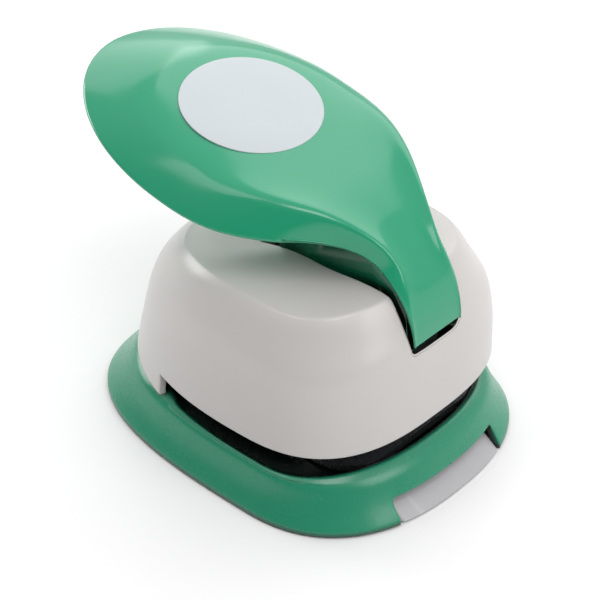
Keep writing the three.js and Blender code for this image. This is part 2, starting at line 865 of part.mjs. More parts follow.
function cheekProfile() {
  const profile = [];
  const backS = (cheekRearX - labelX) / Math.cos(pitch);
  for (let i = 0; i <= frontSteps; i++) {
    const spot = offLine(backS + ((neckFoot - backS) * i) / frontSteps, 0, -leverWall / 2);
    profile.push([spot.x, spot.z]);
  }
  for (let i = 0; i <= 8; i++) {
    const turn = -Math.PI / 4 - (Math.PI / 3) * (i / 8);
    profile.push([pivotX + hubRadius * Math.cos(turn), pivotZ + hubRadius * Math.sin(turn)]);
  }
  for (let i = 0; i <= camSteps; i++) profile.push(camPoint((pressAngle * i) / camSteps));
  const [lastX, lastZ] = camPoint(pressAngle);
  profile.push([lastX - camTail * Math.cos(pressAngle), lastZ + camTail * Math.sin(pressAngle)]);
  return profile.reverse();
}

function leverPocket(radius, depth, height) {
  const geometry = new THREE.CylinderGeometry(radius, radius, height + depth, 64);
  geometry.rotateX(Math.PI / 2);
  geometry.translate(0, 0, (height - depth) / 2);
  geometry.rotateY(pitch);
  geometry.translate(labelX, 0, labelZ);
  return solidOf(geometry);
}

function lever() {
  let body = thicken(leverSkin(), leverWall);
  const profile = cheekProfile();
  for (const side of [-1, 1]) {
    const near = side * cheekInner;
    const far = side * cheekOuter;
    body = join(body, sidePlate(profile, Math.min(near, far), Math.max(near, far)));
  }
  body = cut(body, leverPocket(labelRadius + seatGap, pocketDepth, overrun));
  body = cut(body, crossRod(pivotX, pivotZ, -rimOutline.half, rimOutline.half, pinRadius + pinClearance));
  return largest(body);
}

function shapeLabel() {
  return leverPocket(labelRadius, pocketDepth - seatGap, labelThickness + seatGap - pocketDepth);
}

// Cover

function coverForm(wall) {
  const rings = coverLevels.map((row, i) => {
    const top = i / (coverLevels.length - 1);
    const drop = wall * smooth(2 * top - 0.6);
    const outline = {
      middle: coverMiddle,
      front: row.front - wall,
      rear: row.rear + wall,
      side: row.side - wall,
      frontPower: row.power,
      rearPower: coverRearPower,
    };
    return ring(outline, {
      frontZ: row.frontZ - drop,
      sideZ: row.sideZ - drop,
      rearZ: row.rearZ - drop,
    });
  });
  return loft(rings);
}

function housingCover() {
  const inside = coverForm(coverWall);
  const below = ring(
    {
      middle: coverMiddle,
      front: coverLevels[0].front - coverWall,
      rear: coverLevels[0].rear + coverWall,
      side: coverLevels[0].side - coverWall,
      frontPower: coverLevels[0].power,
      rearPower: coverRearPower,
    },
    level(coverLevels[0].sideZ - overrun),
  );
  const above = below.map((p) => new THREE.Vector3(p.x, p.y, coverLevels[0].sideZ + overrun));
  let shell = cut(coverForm(0), inside, loft([below, above]));
  const roof = coverLevels.at(-1).sideZ;
  for (const [x, y] of coverScrewSpots()) {
    const boss = rod(x, y, coverLevels[0].sideZ, roof, coverBossRadius, 24);
    shell = join(shell, boss.intersect(coverForm(coverWall / 2)));
  }
  const reach = baseOutline.side + overrun;
  const lip = sidePlate(
    [
      [notchX, 0],
      [baseOutline.front, 0],
      [baseOutline.front, lipFrontZ],
      [notchX, lipRearZ],
    ],
    -reach,
    reach,
  );
  const slot = sidePlate(
    [
      [slotRearX, slotFootZ],
      [baseOutline.front, slotFootZ],
      [baseOutline.front, labelZ],
      [slotRearX, labelZ],
    ],
    -slotHalfWidth,
    slotHalfWidth,
  );
  shell = cut(shell, lip, slot, baseForm(seatGap));
  for (const [x, y] of coverScrewSpots()) {
    const hole = rod(x, y, 0, floorHeight + coverScrewDepth + seatGap, screwRadius + seatGap, 16);
    shell = cut(shell, hole);
  }
  return shell;
}

// Screws and feet

function screw(x, y, tip) {
  const head = rod(x, y, screwHeadZ, screwHeadZ + screwHeadHeight, screwHeadRadius, 24);
  const shank = rod(x, y, screwHeadZ + screwHeadHeight / 2, tip, screwRadius, 16);
  const slotWidth = screwRadius / 2;
  const slot = box(
    x - screwHeadRadius / 2,
    x + screwHeadRadius / 2,
    y - slotWidth / 2,
    y + slotWidth / 2,
    screwHeadZ - overrun,
    screwHeadZ + screwHeadHeight / 2,
  );
  const cross = box(
    x - slotWidth / 2,
    x + slotWidth / 2,
    y - screwHeadRadius / 2,
    y + screwHeadRadius / 2,
    screwHeadZ - overrun,
    screwHeadZ + screwHeadHeight / 2,
  );
  return cut(join(head, shank), slot, cross);
}

function rubberFoot(x, y) {
  return rod(x, y, -footStand, footThickness - footStand, footRadius, 28);
}

// Assembly

const group = new THREE.Group();
group.add(
  piece("base_shell", baseShell(), greenAbs),
  piece("chip_tray", chipTray(), trayAbs),
  piece("die_plate", diePlate(), groundSteel),
  piece("throat_spacer", throatSpacer(), darkAcetal),
  piece("guide_frame", guideFrame(), zincCasting),
  piece("housing_cover", housingCover(), greyAbs),
  piece("lever", lever(), greenAbs),
  piece("shape_label", shapeLabel(), paleVinyl),
  piece("pivot_pin", pivotPin(), groundSteel),
  piece("cutter", cutter(), groundSteel),
  piece("pusher", pusher(), darkAcetal),
);
for (const [side, name] of [[-1, "left"], [1, "right"]]) {
  group.add(
    piece("pin_clip_" + name, pinClip(side), springSteel),
    piece("guide_post_" + name, guidePost(side), groundSteel),
    piece("return_spring_" + name, returnSpring(side), springSteel),
  );
}
frameScrewSpots().forEach(([x, y], i) => {
  const tip = frameTop - framePlate / 4 - seatGap;
  group.add(piece("base_screw_" + (i + 1), screw(x, y, tip), springSteel));
});
coverScrewSpots().forEach(([x, y], i) => {
  const tip = floorHeight + coverScrewDepth;
  group.add(piece("cover_screw_" + ["left", "right"][i], screw(x, y, tip), springSteel));
});
footSpots().forEach(([x, y], i) => {
  group.add(piece("rubber_foot_" + (i + 1), rubberFoot(x, y), blackRubber));
});
console.log("least gap of a spring to itself: " + leastSelfGap(springPath()).toFixed(2) + " mm");

// The origin is the middle of the whole punch, on the surface that it stands on
const leverRear = offLine(rimOutline.centre - rimOutline.rear, 0, -rimDepth(rimOutline.centre - rimOutline.rear));
group.position.set(-(leverRear.x + baseOutline.front) / 2, 0, footStand);

export default group;
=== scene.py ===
"""Circle craft punch: moulded ABS lever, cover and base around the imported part, with studio and camera."""

import json
import math

import bmesh
import bpy
import numpy as np
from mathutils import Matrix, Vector


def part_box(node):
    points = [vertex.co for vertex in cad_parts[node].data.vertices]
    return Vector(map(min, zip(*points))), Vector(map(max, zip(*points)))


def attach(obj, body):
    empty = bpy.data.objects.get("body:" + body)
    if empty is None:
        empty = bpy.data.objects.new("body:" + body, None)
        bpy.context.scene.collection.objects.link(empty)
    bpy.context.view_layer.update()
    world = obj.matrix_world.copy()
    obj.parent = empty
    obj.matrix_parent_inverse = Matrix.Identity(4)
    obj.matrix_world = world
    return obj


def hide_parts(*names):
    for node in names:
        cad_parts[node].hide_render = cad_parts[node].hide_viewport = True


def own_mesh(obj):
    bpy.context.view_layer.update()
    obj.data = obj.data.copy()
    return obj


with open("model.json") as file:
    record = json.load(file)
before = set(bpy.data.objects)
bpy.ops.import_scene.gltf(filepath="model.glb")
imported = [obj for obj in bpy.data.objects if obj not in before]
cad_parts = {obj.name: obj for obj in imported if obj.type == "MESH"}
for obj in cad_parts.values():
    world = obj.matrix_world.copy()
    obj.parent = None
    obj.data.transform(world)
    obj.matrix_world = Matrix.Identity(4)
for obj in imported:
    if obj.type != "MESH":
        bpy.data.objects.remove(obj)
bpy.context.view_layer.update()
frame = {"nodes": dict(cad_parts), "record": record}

MM = 0.001

# The cutter's axis and the base's rim give the place of everything, in millimetres of the part
axis_low, axis_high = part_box("cutter")
base_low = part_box("base_shell")[0]
AXIS_X = (axis_low.x + axis_high.x) / 2 / MM
RIM_Z = base_low.z / MM

# Camera: solved from the photograph's outlines
CAMERA_TURN = 41.97
CAMERA_RISE = 37.31
CAMERA_AWAY = 695.97
CAMERA_AIM = (-10.67, 0, 34.46)
CAMERA_LENS = 156

# Rounding of moulded edges
LEVER_EDGE = 0.75
COVER_EDGE = 0.45
BASE_EDGE = 0.4
TRAY_EDGE = 0.25
EDGE_STEPS = 4
EDGE_WALL_SHARE = 0.48
JOIN_DISTANCE = 1e-4
SLIVER_DISTANCE = 1e-5
BLOCK_EDGE_STEPS = 2
SLAB_EDGE_STEPS = 3
TURN_STEPS = 40
CORNER_SHARE = 0.3

# Lever
LABEL_X = -27.56
LABEL_Z = 89.38
PITCH = math.radians(10.39)
BEND_START = 35.1
BEND_RADIUS = 36
NECK_FOOT_Z = 47.7
LEVER_WALL = 2.2
RIM = {"centre": 1.5, "rear": 51.4, "half": 36.2, "neck_at": 62, "neck_half": 11, "foot_half": 9.2}
CREASE = {"centre": 8, "rear": 36.5, "half": 27.2, "neck_at": 64, "neck_half": 7.8, "foot_half": 8.9}
RIM_WARP = 1.35
CREASE_WARP = 1.2
RIM_DROP = 10.6
RIM_DROP_FOOT = 0.5
RIM_DROP_START = 14
REAR_TAPER = 1.03
CROWN_DROP = 1.5
DISH_RISE = 1.2
SKIRT_BULGE = 0.5
CROWN_POWER = 4
HEART_SETBACK = 16
REAR_STEPS = 40
FRONT_STEPS = 84
FACE_STEPS = 16
CREASE_STEPS = 5
SKIRT_STEPS = 12
CREASE_SOFTNESS = 0.12
SKIRT_SOFTNESS = 1.6  # times the crease's, on the skirt's side
TOP_PROFILE_STEPS = 36
HUB_STEPS = 12
CAM_STEPS = 12

# Cheeks under the lever
CHEEK_INNER = 5.6
CHEEK_OUTER = 8.0
CHEEK_REAR_X = -9.5
PIVOT_SETBACK = 8.47
PIVOT_Z = 50
HUB_RADIUS = 5
CAM_DROP = 8
CAM_TAIL = 8
STROKE = 8
CHEEK_EDGE = 0.4

# Label disc
LABEL_RADIUS = 19
LABEL_TOP = 0.16
LABEL_FOOT = -0.45
LABEL_EDGE = 0.14
LABEL_STEPS = 128
LABEL_EDGE_STEPS = 4
LABEL_CENTRE_SHARE = 0.5

# Cover: outline and heights of each level, from the skirt to the roof
COVER_MIDDLE = 3
COVER_REAR_POWER = 2.3
COVER_WALL = 2.2
LEVEL_KEYS = ("front", "side", "rear", "power", "front_z", "side_z", "rear_z")
COVER_LEVELS = [
    dict(zip(LEVEL_KEYS, level))
    for level in (
        (38.2, 41.3, -57.3, 2.7, 14.8, 14.8, 14.8),
        (38, 41, -56.3, 2.75, 21.3, 20, 19),
        (37.8, 40.2, -53.5, 2.8, 36, 33, 30),
        (37.2, 38.5, -50.6, 2.65, 46.5, 43.5, 40),
        (34.4, 34.9, -46.8, 2.5, 53.5, 51.6, 46),
        (30.4, 31.6, -42.6, 2.6, 60.2, 57.2, 50),
        (28, 28.2, -39, 2.6, 61.6, 58.6, 51.6),
        (20, 14, -26, 2.5, 62, 59.8, 52.4),
        (18.5, 7, -14, 2.5, 62.1, 60.1, 55.2),
    )
]
NOTCH_X = -28
LIP_FRONT_Z = 22.5
LIP_REAR_Z = 21.4
SLOT_HALF = 10
SLOT_REAR_X = -16.3
SLOT_FOOT_Z = 46.4
SLOT_CORNERS = {1: 4.8, -1: 1.2}
SLOT_FOOT_WALL = 0.4
SLOT_FOOT_BLEND = 4
SLOT_REAR_CORNER = 1.4
COVER_ROWS = 44
SKIRT_ROWS = 8
COVER_FRONT_STEPS = 70
COVER_REAR_STEPS = 34
SLOT_CORNER_STEPS = 6
SLOT_REAR_STEPS = 4
SLOT_SIDE_STEPS = 60
SLOT_CLIMB = 0.05  # levels
BISECT_STEPS = 40
SHOULDER_LEVEL = 5
FRONT_LEVEL = 6  # the highest that the front wall reaches
SKIRT_LEVEL = 2  # the highest that the lip and the ledge reach
NOTCH_CLEAR = 0.03  # radians
MIDDLE_HEIGHT = 20  # the part's, to tell out from in

# Base: steep flare above a low rim, a bevel and a flat floor with the die's pocket
BASE_PLAN = {
    "middle": 8.7,
    "front": 45.8,
    "rear": -64.6,
    "side": 44.1,
    "front_power": 2.4,
    "rear_power": 2.95,
}
RIM_HEIGHT = 1.6
FLARE_HEIGHT = 12.3
FLARE_INSET = {"front": 6.2, "side": 4.9, "rear": 8.8}
FLARE_HOLLOW = 0.5
BEVEL_HEIGHT = 1.9
BEVEL_INSET = 2.2
FLOOR_HEIGHT = 14.6
FLOOR_INSET = 3
FLOOR_LAP = 0.6
CORNER_SOFTNESS = [0, 0.35, 4, 1.7, 1.9, 1.4, 0]
FLARE_RUN = 6
BEND_POINTS = 5
SOFT_LIMIT = 0.45
LEVEL_STEP = 0.9
LEVELS_OVER_FLARE = 8
BASE_WALL = 2.1
CAVITY_WALL_SHARE = 0.9
MOUTH_HALF = 20.5
MOUTH_TAPER = 0.5
MOUTH_HEIGHT = 6.8
MOUTH_SHOULDER_Z = 5.2
MOUTH_CORNER = 0.5
MOUTH_WALL_X = 30
MOUTH_CLEARED = 1.3
DIE_POCKET = {"front": 33.3, "rear": -40.3, "side": 28.3, "corner": 13}
DIE_POCKET_FLOOR = 12.2
DIE_HOLE_RADIUS = 20
POCKET_EDGE = 0.5
POCKET_SHOULDER = 0.8
POCKET_FLOOR_SHARES = (0, 0.3, 0.7, 1)
MOUTH_LEVEL_CLEAR = 0.4  # levels
MOUTH_BLEND = 4  # rows
CREST_DIP = 0.72
DIP_START = 12
MOUTH_STEPS = 30
BASE_STEPS = 110

# Chip tray
TRAY_HALF = 19.9
TRAY_WALL = 0.7
TRAY_FLOOR = 1.2
TRAY_FOOT_Z = 0.3
TRAY_TOP_Z = 6.2
TRAY_RAMP = 8
TRAY_REAR_X = -20
TRAY_CORNER = 1.2
TRAY_CORNER_STEPS = 6
TRAY_FRONT_STEPS = 30
TRAY_SIDE_STEPS = 12
BRIM_LEAN = 0.1
BRIM_FLAT = 0.4
RUNNER_LENGTH = 12
RUNNER_REACH = 1.2
RUNNER_HEIGHT = 1

# Inside the base and the cover
CAVITY_HEIGHT = 10.2
CAVITY_LEAN = 0.75
SEAT_GAP = 0.3
SCREW_HEAD = 2.2
BOSS_RADIUS = 4
BOSS_BORE = 1.8
FOOT_PAD_RADIUS = 4.5
RAIL_THICKNESS = 3.4
RAIL_FRONT_X = 36
COVER_BOSS_RADIUS = 3.6
LEDGE_Z = 24.6
LEDGE_THICKNESS = 3
LEDGE_INNER = 31.3
LEDGE_REAR_X = -14
LEDGE_FRONT_X = 22
LEDGE_STEPS = 16
INSIDE_EDGE = 0.3
FRAME_SCREWS = ["base_screw_1", "base_screw_2", "base_screw_3", "base_screw_4"]
COVER_SCREWS = ["cover_screw_left", "cover_screw_right"]
RUBBER_FEET = ["rubber_foot_1", "rubber_foot_2", "rubber_foot_3", "rubber_foot_4"]

# Return springs
SPRING_RADIUS = 3.4
WIRE_RADIUS = 0.55
SPRING_CURLS = 4.5
CURL_STEPS = 28
WIRE_SIDES = 10
POST_SPREAD = 27
SEAT_TURNS = 0.75
OPEN_SHARE = 0.86
SEAT_SHARE = 0.07


def in_row(point):
    """A point of the part, in millimetres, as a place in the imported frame, in metres."""
    return (
        (point[0] + AXIS_X) * MM,
        point[1] * MM,
        (point[2] + RIM_Z) * MM,
    )


# Materials


def linear(hex_colour):
    """sRGB hex colour as linear RGBA."""
    channels = [int(hex_colour[i : i + 2], 16) / 255 for i in (1, 3, 5)]
    bent = [c / 12.92 if c <= 0.04045 else ((c + 0.055) / 1.055) ** 2.4 for c in channels]
    return (*bent, 1)


def add_node(tree, kind, settings=None, links=None):
    """One node with its settings and the sockets that feed it."""
    node = tree.nodes.new(kind)
    for name, value in (settings or {}).items():
        if isinstance(name, str) and hasattr(node, name):
            setattr(node, name, value)
        else:
            node.inputs[name].default_value = value
    for name, source in (links or {}).items():
        tree.links.new(source, node.inputs[name])
    return node


def new_material(name, surface):
    """A material, its tree, its Principled surface, and the object's coordinates in metres for patterns."""
    material = bpy.data.materials.new(name)
    material.use_nodes = True
    tree = material.node_tree
    tree.nodes.clear()
    shader = add_node(tree, "ShaderNodeBsdfPrincipled", surface)
    output = add_node(tree, "ShaderNodeOutputMaterial")
    tree.links.new(shader.outputs["BSDF"], output.inputs["Surface"])
    place = add_node(tree, "ShaderNodeTexCoord")
    return material, tree, shader, place.outputs["Object"]


def per_mm(size):
    """Noise scale whose cells are that many millimetres wide, in metres of the scene."""
    return 1 / (size * MM)


# Sizes and depths of the patterns in millimetres, and their strengths
ABS_PATTERNS = [  # size, detail and roughness of its flow, scuffs, haze, waves and grain
    (38, 2, 0.5),
    (2.5, 3, 0.6),
    (9, 4, 0.6),
    (14, 1, 0.4),
    (0.5, 2, 0.5),
]
GRAIN_SHARE = 0.04
CREST_FROM, CREST_TO = 0.52, 0.6
ABS_IOR = 1.53
VINYL_TOOTH = 0.35
VINYL_TOOTH_DEPTH = 0.004
VINYL_CLOUD = 16
VINYL_ROUGHNESS = (0.42, 0.52)
SOFT_SPREAD = 0.08

# The photo shows the gap under the cover and the lever's cheeks near black. Soft light alone leaves the
# plastic there green, so its colour is darkened where the surface is closed in. This stands for deep shade,
# not for a darker material.
CLEFT_SAMPLES = 16
CLEFT_REACH = 22
CLEFT_OPEN = 0.66
CLEFT_DEEP = 0.38


def moulded_abs(name, colour, shade, rubbed, roughness, ripple=0.012, dust=0.05, deep_shade=None):
    """Moulded ABS: a slightly wavy gloss, faint flow shade, fine handling marks and pale rubbed edges.

    deep_shade is the colour that its closed-in places turn to.
    """
    material, tree, shader, place = new_material(name, {"Metallic": 0, "IOR": ABS_IOR})
    flow, scuff, haze, wave, grain = (
        add_node(
            tree,
            "ShaderNodeTexNoise",
            {"Scale": per_mm(size), "Detail": detail, "Roughness": rough},
            {"Vector": place},
        )
        for size, detail, rough in ABS_PATTERNS
    )
    form = add_node(tree, "ShaderNodeNewGeometry")
    crest = add_node(
        tree,
        "ShaderNodeMapRange",
        {"From Min": CREST_FROM, "From Max": CREST_TO, "To Min": 0, "To Max": 1},
        {"Value": form.outputs["Pointiness"]},
    )
    rub = add_node(
        tree,
        "ShaderNodeMath",
        {"operation": "MULTIPLY"},
        {0: crest.outputs["Result"], 1: scuff.outputs["Fac"]},
    )
    layers = [(flow.outputs["Fac"], shade), (rub.outputs["Value"], rubbed)]
    if deep_shade:
        cleft = add_node(
            tree,
            "ShaderNodeAmbientOcclusion",
            {"samples": CLEFT_SAMPLES, "Distance": CLEFT_REACH * MM},
        )
        depth = add_node(
            tree,
            "ShaderNodeMapRange",
            {"From Min": CLEFT_OPEN, "From Max": CLEFT_DEEP, "To Min": 0, "To Max": 1},
            {"Value": cleft.outputs["AO"]},
        )
        layers.append((depth.outputs["Result"], deep_shade))
    under = None
    for amount, tint in layers:
        mix = add_node(tree, "ShaderNodeMix", {"data_type": "RGBA"})
        mix.inputs["B"].default_value = linear(tint)
        tree.links.new(amount, mix.inputs["Factor"])
        if under:
            tree.links.new(under, mix.inputs["A"])
        else:
            mix.inputs["A"].default_value = linear(colour)
        under = mix.outputs["Result"]
    tree.links.new(under, shader.inputs["Base Color"])
    gloss = add_node(
        tree,
        "ShaderNodeMapRange",
        {"From Min": 0.3, "From Max": 0.7, "To Min": roughness - dust / 2, "To Max": roughness + dust / 2},
        {"Value": haze.outputs["Fac"]},
    )
    tree.links.new(gloss.outputs["Result"], shader.inputs["Roughness"])
    heights = add_node(
        tree,
        "ShaderNodeMath",
        {"operation": "MULTIPLY_ADD", 1: GRAIN_SHARE},
        {0: grain.outputs["Fac"], 2: wave.outputs["Fac"]},
    )
    bump = add_node(
        tree,
        "ShaderNodeBump",
        {"Strength": 1, "Distance": ripple * MM},
        {"Height": heights.outputs["Value"]},
    )
    tree.links.new(bump.outputs["Normal"], shader.inputs["Normal"])
    return material


def vary(tree, shader, colours, pattern, gloss, relief, depth):
    """Lets one pattern mix two colours and set the gloss, and another raise the surface by depth in mm."""
    blend = add_node(tree, "ShaderNodeMix", {"data_type": "RGBA"})
    for socket, colour in zip("AB", colours):
        blend.inputs[socket].default_value = linear(colour)
    tree.links.new(pattern.outputs["Fac"], blend.inputs["Factor"])
    tree.links.new(blend.outputs["Result"], shader.inputs["Base Color"])
    sheen = add_node(tree, "ShaderNodeMapRange", gloss, {"Value": pattern.outputs["Fac"]})
    tree.links.new(sheen.outputs["Result"], shader.inputs["Roughness"])
    bump = add_node(
        tree,
        "ShaderNodeBump",
        {"Strength": 1, "Distance": depth * MM},
        {"Height": relief.outputs["Fac"]},
    )
    tree.links.new(bump.outputs["Normal"], shader.inputs["Normal"])


def vinyl_label(name, colour, shade):
    """Bare vinyl disc: a pale, even satin with the faintest paper tooth."""
    material, tree, shader, place = new_material(name, {"Metallic": 0, "IOR": 1.5})
    tooth, cloud = (
        add_node(tree, "ShaderNodeTexNoise", {"Scale": per_mm(size), "Detail": detail}, {"Vector": place})
        for size, detail in ((VINYL_TOOTH, 3), (VINYL_CLOUD, 2))
    )
    gloss = {"To Min": VINYL_ROUGHNESS[0], "To Max": VINYL_ROUGHNESS[1]}
    vary(tree, shader, (colour, shade), cloud, gloss, tooth, VINYL_TOOTH_DEPTH)
    return material


def worked_metal(name, colour, shade, roughness, spread, stretch, grain_size, depth):
    """Bare metal: stretched grain for ground or drawn steel, round grain for a casting."""
    material, tree, shader, place = new_material(name, {"Metallic": 1})
    mapping = add_node(tree, "ShaderNodeMapping", {"Scale": stretch}, {"Vector": place})
    grain = add_node(
        tree,
        "ShaderNodeTexNoise",
        {"Scale": per_mm(grain_size), "Detail": 4, "Roughness": 0.6},
        {"Vector": mapping.outputs["Vector"]},
    )
    gloss = {"From Min": 0.3, "From Max": 0.7, "To Min": roughness, "To Max": roughness + spread}
    vary(tree, shader, (colour, shade), grain, gloss, grain, depth)
    return material


def soft_matt(name, colour, shade, roughness, grain_size, depth):
    """Unpolished acetal or moulded rubber: dark and matt, with an open grain."""
    material, tree, shader, place = new_material(name, {"Metallic": 0, "IOR": 1.5})
    grain = add_node(
        tree,
        "ShaderNodeTexNoise",
        {"Scale": per_mm(grain_size), "Detail": 3},
        {"Vector": place},
    )
    gloss = {"To Min": roughness - SOFT_SPREAD, "To Max": roughness + SOFT_SPREAD}
    vary(tree, shader, (colour, shade), grain, gloss, grain, depth)
    return material


DEEP_SHADE = "#04120d"
# The lever and the base are one green plastic: the lever's lighter green is painted light and the base's
# darker green is painted shade, for how light falls on each. The base's higher roughness is its satin finish.
polished_lit_green_abs = moulded_abs(
    "polished_lit_green_abs", "#25956f", "#238f6a", "#5fb392", 0.16, 0.008, 0.05, DEEP_SHADE
)
satin_shaded_green_abs = moulded_abs(
    "satin_shaded_green_abs", "#258868", "#238263", "#5aab8b", 0.27, 0.01, 0.06, DEEP_SHADE
)
grey_abs = moulded_abs("grey_abs", "#c2bebc", "#bebab8", "#d3d0ce", 0.3)
tray_abs = moulded_abs("tray_abs", "#acabae", "#a7a6a9", "#c3c2c4", 0.42)
pale_vinyl = vinyl_label("pale_vinyl", "#bac1c4", "#b6bdc0")
ground_steel = worked_metal("ground_steel", "#c4c6c9", "#a9abaf", 0.22, 0.14, (1, 12, 1), 0.6, 0.003)
zinc_casting = worked_metal("zinc_casting", "#a4a6aa", "#8f9195", 0.42, 0.16, (1, 1, 1), 0.4, 0.012)
spring_steel = worked_metal("spring_steel", "#a9abae", "#8d8f92", 0.24, 0.12, (1, 1, 6), 0.5, 0.003)
dark_acetal = soft_matt("dark_acetal", "#3a3b3d", "#2f3032", 0.5, 0.3, 0.006)
black_rubber = soft_matt("black_rubber", "#1d1d1e", "#252526", 0.8, 0.25, 0.012)

FINISHES = {
    "green_abs": polished_lit_green_abs,
    "grey_abs": grey_abs,
    "tray_abs": tray_abs,
    "pale_vinyl": pale_vinyl,
    "ground_steel": ground_steel,
    "zinc_casting": zinc_casting,
    "spring_steel": spring_steel,
    "dark_acetal": dark_acetal,
    "black_rubber": black_rubber,
}


# Skins: open sheets of points, thickened with round edges


def grid_faces(rows, columns, first=0, closed=False):
    """Quads of a grid whose points lie row after row."""
    faces = []
    for i in range(rows - 1):
        for k in range(columns if closed else columns - 1):
            a = first + i * columns + k
            b = first + i * columns + (k + 1) % columns
            faces.append((a, b, b + columns, a + columns))
    return faces


def skin_mesh(points, faces):
    """A bmesh of the skin with doubled points joined and its sides facing one way."""
    sheet = bmesh.new()
    corners = [sheet.verts.new(p) for p in points]
    for face in faces:
        used = []
        for i in face:
            if corners[i] not in used:
                used.append(corners[i])
        if len(used) > 2:
            sheet.faces.new(used)
    bmesh.ops.remove_doubles(sheet, verts=sheet.verts, dist=JOIN_DISTANCE)
    bmesh.ops.dissolve_degenerate(sheet, edges=sheet.edges, dist=SLIVER_DISTANCE)
    return sheet


def boundary_loops(sheet):
    """Each open edge loop, as points in order, with the sheet on the left."""
    after = {}
    for edge in sheet.edges:
        if edge.is_boundary:
            loop = edge.link_loops[0]
            after[loop.vert] = loop.link_loop_next.vert
    loops = []
    while after:
        start = next(iter(after))
        loop = [start]
        following = after.pop(start)
        while following is not start:
            loop.append(following)
            following = after.pop(following)
        loops.append(loop)
    return loops


def thicken(sheet, wall_at, radius, outward, held=None):
    """Turns the skin into a closed wall below it, with each open edge rounded.
    wall_at gives the wall at a point, outward tells whether the skin's faces look out,
    and held keeps the inner side within a form."""
    sheet.normal_update()
    if outward(sheet) < 0:
        bmesh.ops.reverse_faces(sheet, faces=sheet.faces[:])
        sheet.normal_update()
    normals = {v: v.normal.copy() for v in sheet.verts}
    outer_faces = [list(face.verts) for face in sheet.faces]
    loops = boundary_loops(sheet)
    edge_rows = []
    for loop in loops:
        inward = []
        count = len(loop)
        for i, v in enumerate(loop):
            along = (loop[(i + 1) % count].co - loop[i - 1].co).normalized()
            inward.append(normals[v].cross(along).normalized())
        edge_rows.append(inward)
    inner = {}
    for v in list(normals):
        inner[v] = sheet.verts.new(v.co - normals[v] * wall_at(v.co))
    for face in outer_faces:
        sheet.faces.new([inner[v] for v in reversed(face)])
    for loop, inward in zip(loops, edge_rows):
        count = len(loop)
        rows = []
        for k in range(1, EDGE_STEPS + 1):
            turn = math.pi / 2 * k / EDGE_STEPS
            row = []
            for v, into in zip(loop, inward):
                curve = min(radius, wall_at(v.co) * EDGE_WALL_SHARE)
                spot = v.co + into * radius * (1 - math.sin(turn)) - normals[v] * curve * (1 - math.cos(turn))
                row.append(sheet.verts.new(spot))
            rows.append(row)
        walls = [wall_at(v.co) for v in loop]
        for k in range(EDGE_STEPS):
            turn = math.pi / 2 * k / EDGE_STEPS
            row = []
            for v, into, wall in zip(loop, inward, walls):
                curve = min(radius, wall * EDGE_WALL_SHARE)
                depth = wall - curve * (1 - math.sin(turn))
                spot = v.co + into * curve * (1 - math.cos(turn)) - normals[v] * depth
                row.append(sheet.verts.new(spot))
            rows.append(row)
        for v, into, wall in zip(loop, inward, walls):
            inner[v].co = v.co + into * radius - normals[v] * wall
        for v, into in zip(loop, inward):
            v.co = v.co + into * radius
        if held:
            for v in rows[-1]:
                v.co = held(v.co)
        chain = [loop, *rows, [inner[v] for v in loop]]
        for near, far in zip(chain, chain[1:]):
            for i in range(count):
                j = (i + 1) % count
                sheet.faces.new((near[j], near[i], far[i], far[j]))
    if held:
        for v in inner.values():
            v.co = held(v.co)
    bmesh.ops.recalc_face_normals(sheet, faces=sheet.faces[:])
    return sheet


def join_rings(sheet, rings):
    """Quads between each ring of vertices and the next."""
    count = len(rings[0])
    for near, far in zip(rings, rings[1:]):
        for k in range(count):
            j = (k + 1) % count
            sheet.faces.new((near[k], near[j], far[j], far[k]))


def add_turned(sheet, profile, x, y):
    """A form turned round an upright line, from its profile of radii and heights, open at both ends."""
    turns = [2 * math.pi * k / TURN_STEPS for k in range(TURN_STEPS)]
    rings = []
    for radius, z in profile:
        spots = [(x + radius * math.cos(a), y + radius * math.sin(a), z) for a in turns]
        rings.append([sheet.verts.new(spot) for spot in spots])
    join_rings(sheet, rings)
    return rings


def add_rod(sheet, x, y, foot, top, radius, edge):
    """An upright rod with a rounded foot."""
    soft = edge * CORNER_SHARE
    profile = [(radius - edge, foot), (radius - soft, foot + soft), (radius, foot + edge), (radius, top)]
    rings = add_turned(sheet, profile, x, y)
    sheet.faces.new(list(reversed(rings[0])))
    sheet.faces.new(rings[-1])


def add_tube(sheet, x, y, foot, top, radius, bore, edge):
    """An upright tube, such as a screw boss."""
    profile = [(bore, foot), (radius - edge, foot), (radius, foot + edge), (radius, top), (bore, top)]
    rings = add_turned(sheet, profile, x, y)
    join_rings(sheet, [rings[-1], rings[0]])


def round_edges(sheet, edges, edge, steps):
    """Rounds the edges of a solid form by that radius."""
    bmesh.ops.bevel(
        sheet,
        geom=edges,
        offset=edge,
        segments=steps,
        affect="EDGES",
        profile=0.5,
        clamp_overlap=True,
    )


def add_block(sheet, low, high, edge):
    """A block between two corners with its edges rounded."""
    corners = [
        sheet.verts.new((x, y, z))
        for x in (low[0], high[0])
        for y in (low[1], high[1])
        for z in (low[2], high[2])
    ]
    sides = [(0, 1, 3, 2), (4, 6, 7, 5), (0, 4, 5, 1), (2, 3, 7, 6), (0, 2, 6, 4), (1, 5, 7, 3)]
    faces = [sheet.faces.new([corners[i] for i in side]) for side in sides]
    edges = {e for face in faces for e in face.edges}
    round_edges(sheet, list(edges), edge, BLOCK_EDGE_STEPS)


def add_sheet(sheet, other):
    """Moves the other sheet's faces into the sheet."""
    corners = {v: sheet.verts.new(v.co) for v in other.verts}
    for face in other.faces:
        sheet.faces.new([corners[v] for v in face.verts])
    other.free()


def spot_of(node):
    """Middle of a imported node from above, and its lowest and highest height, in the part's millimetres."""
    low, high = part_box(node)
    x = (low.x + high.x) / 2 / MM - AXIS_X
    y = (low.y + high.y) / 2 / MM
    return x, y, low.z / MM - RIM_Z, high.z / MM - RIM_Z


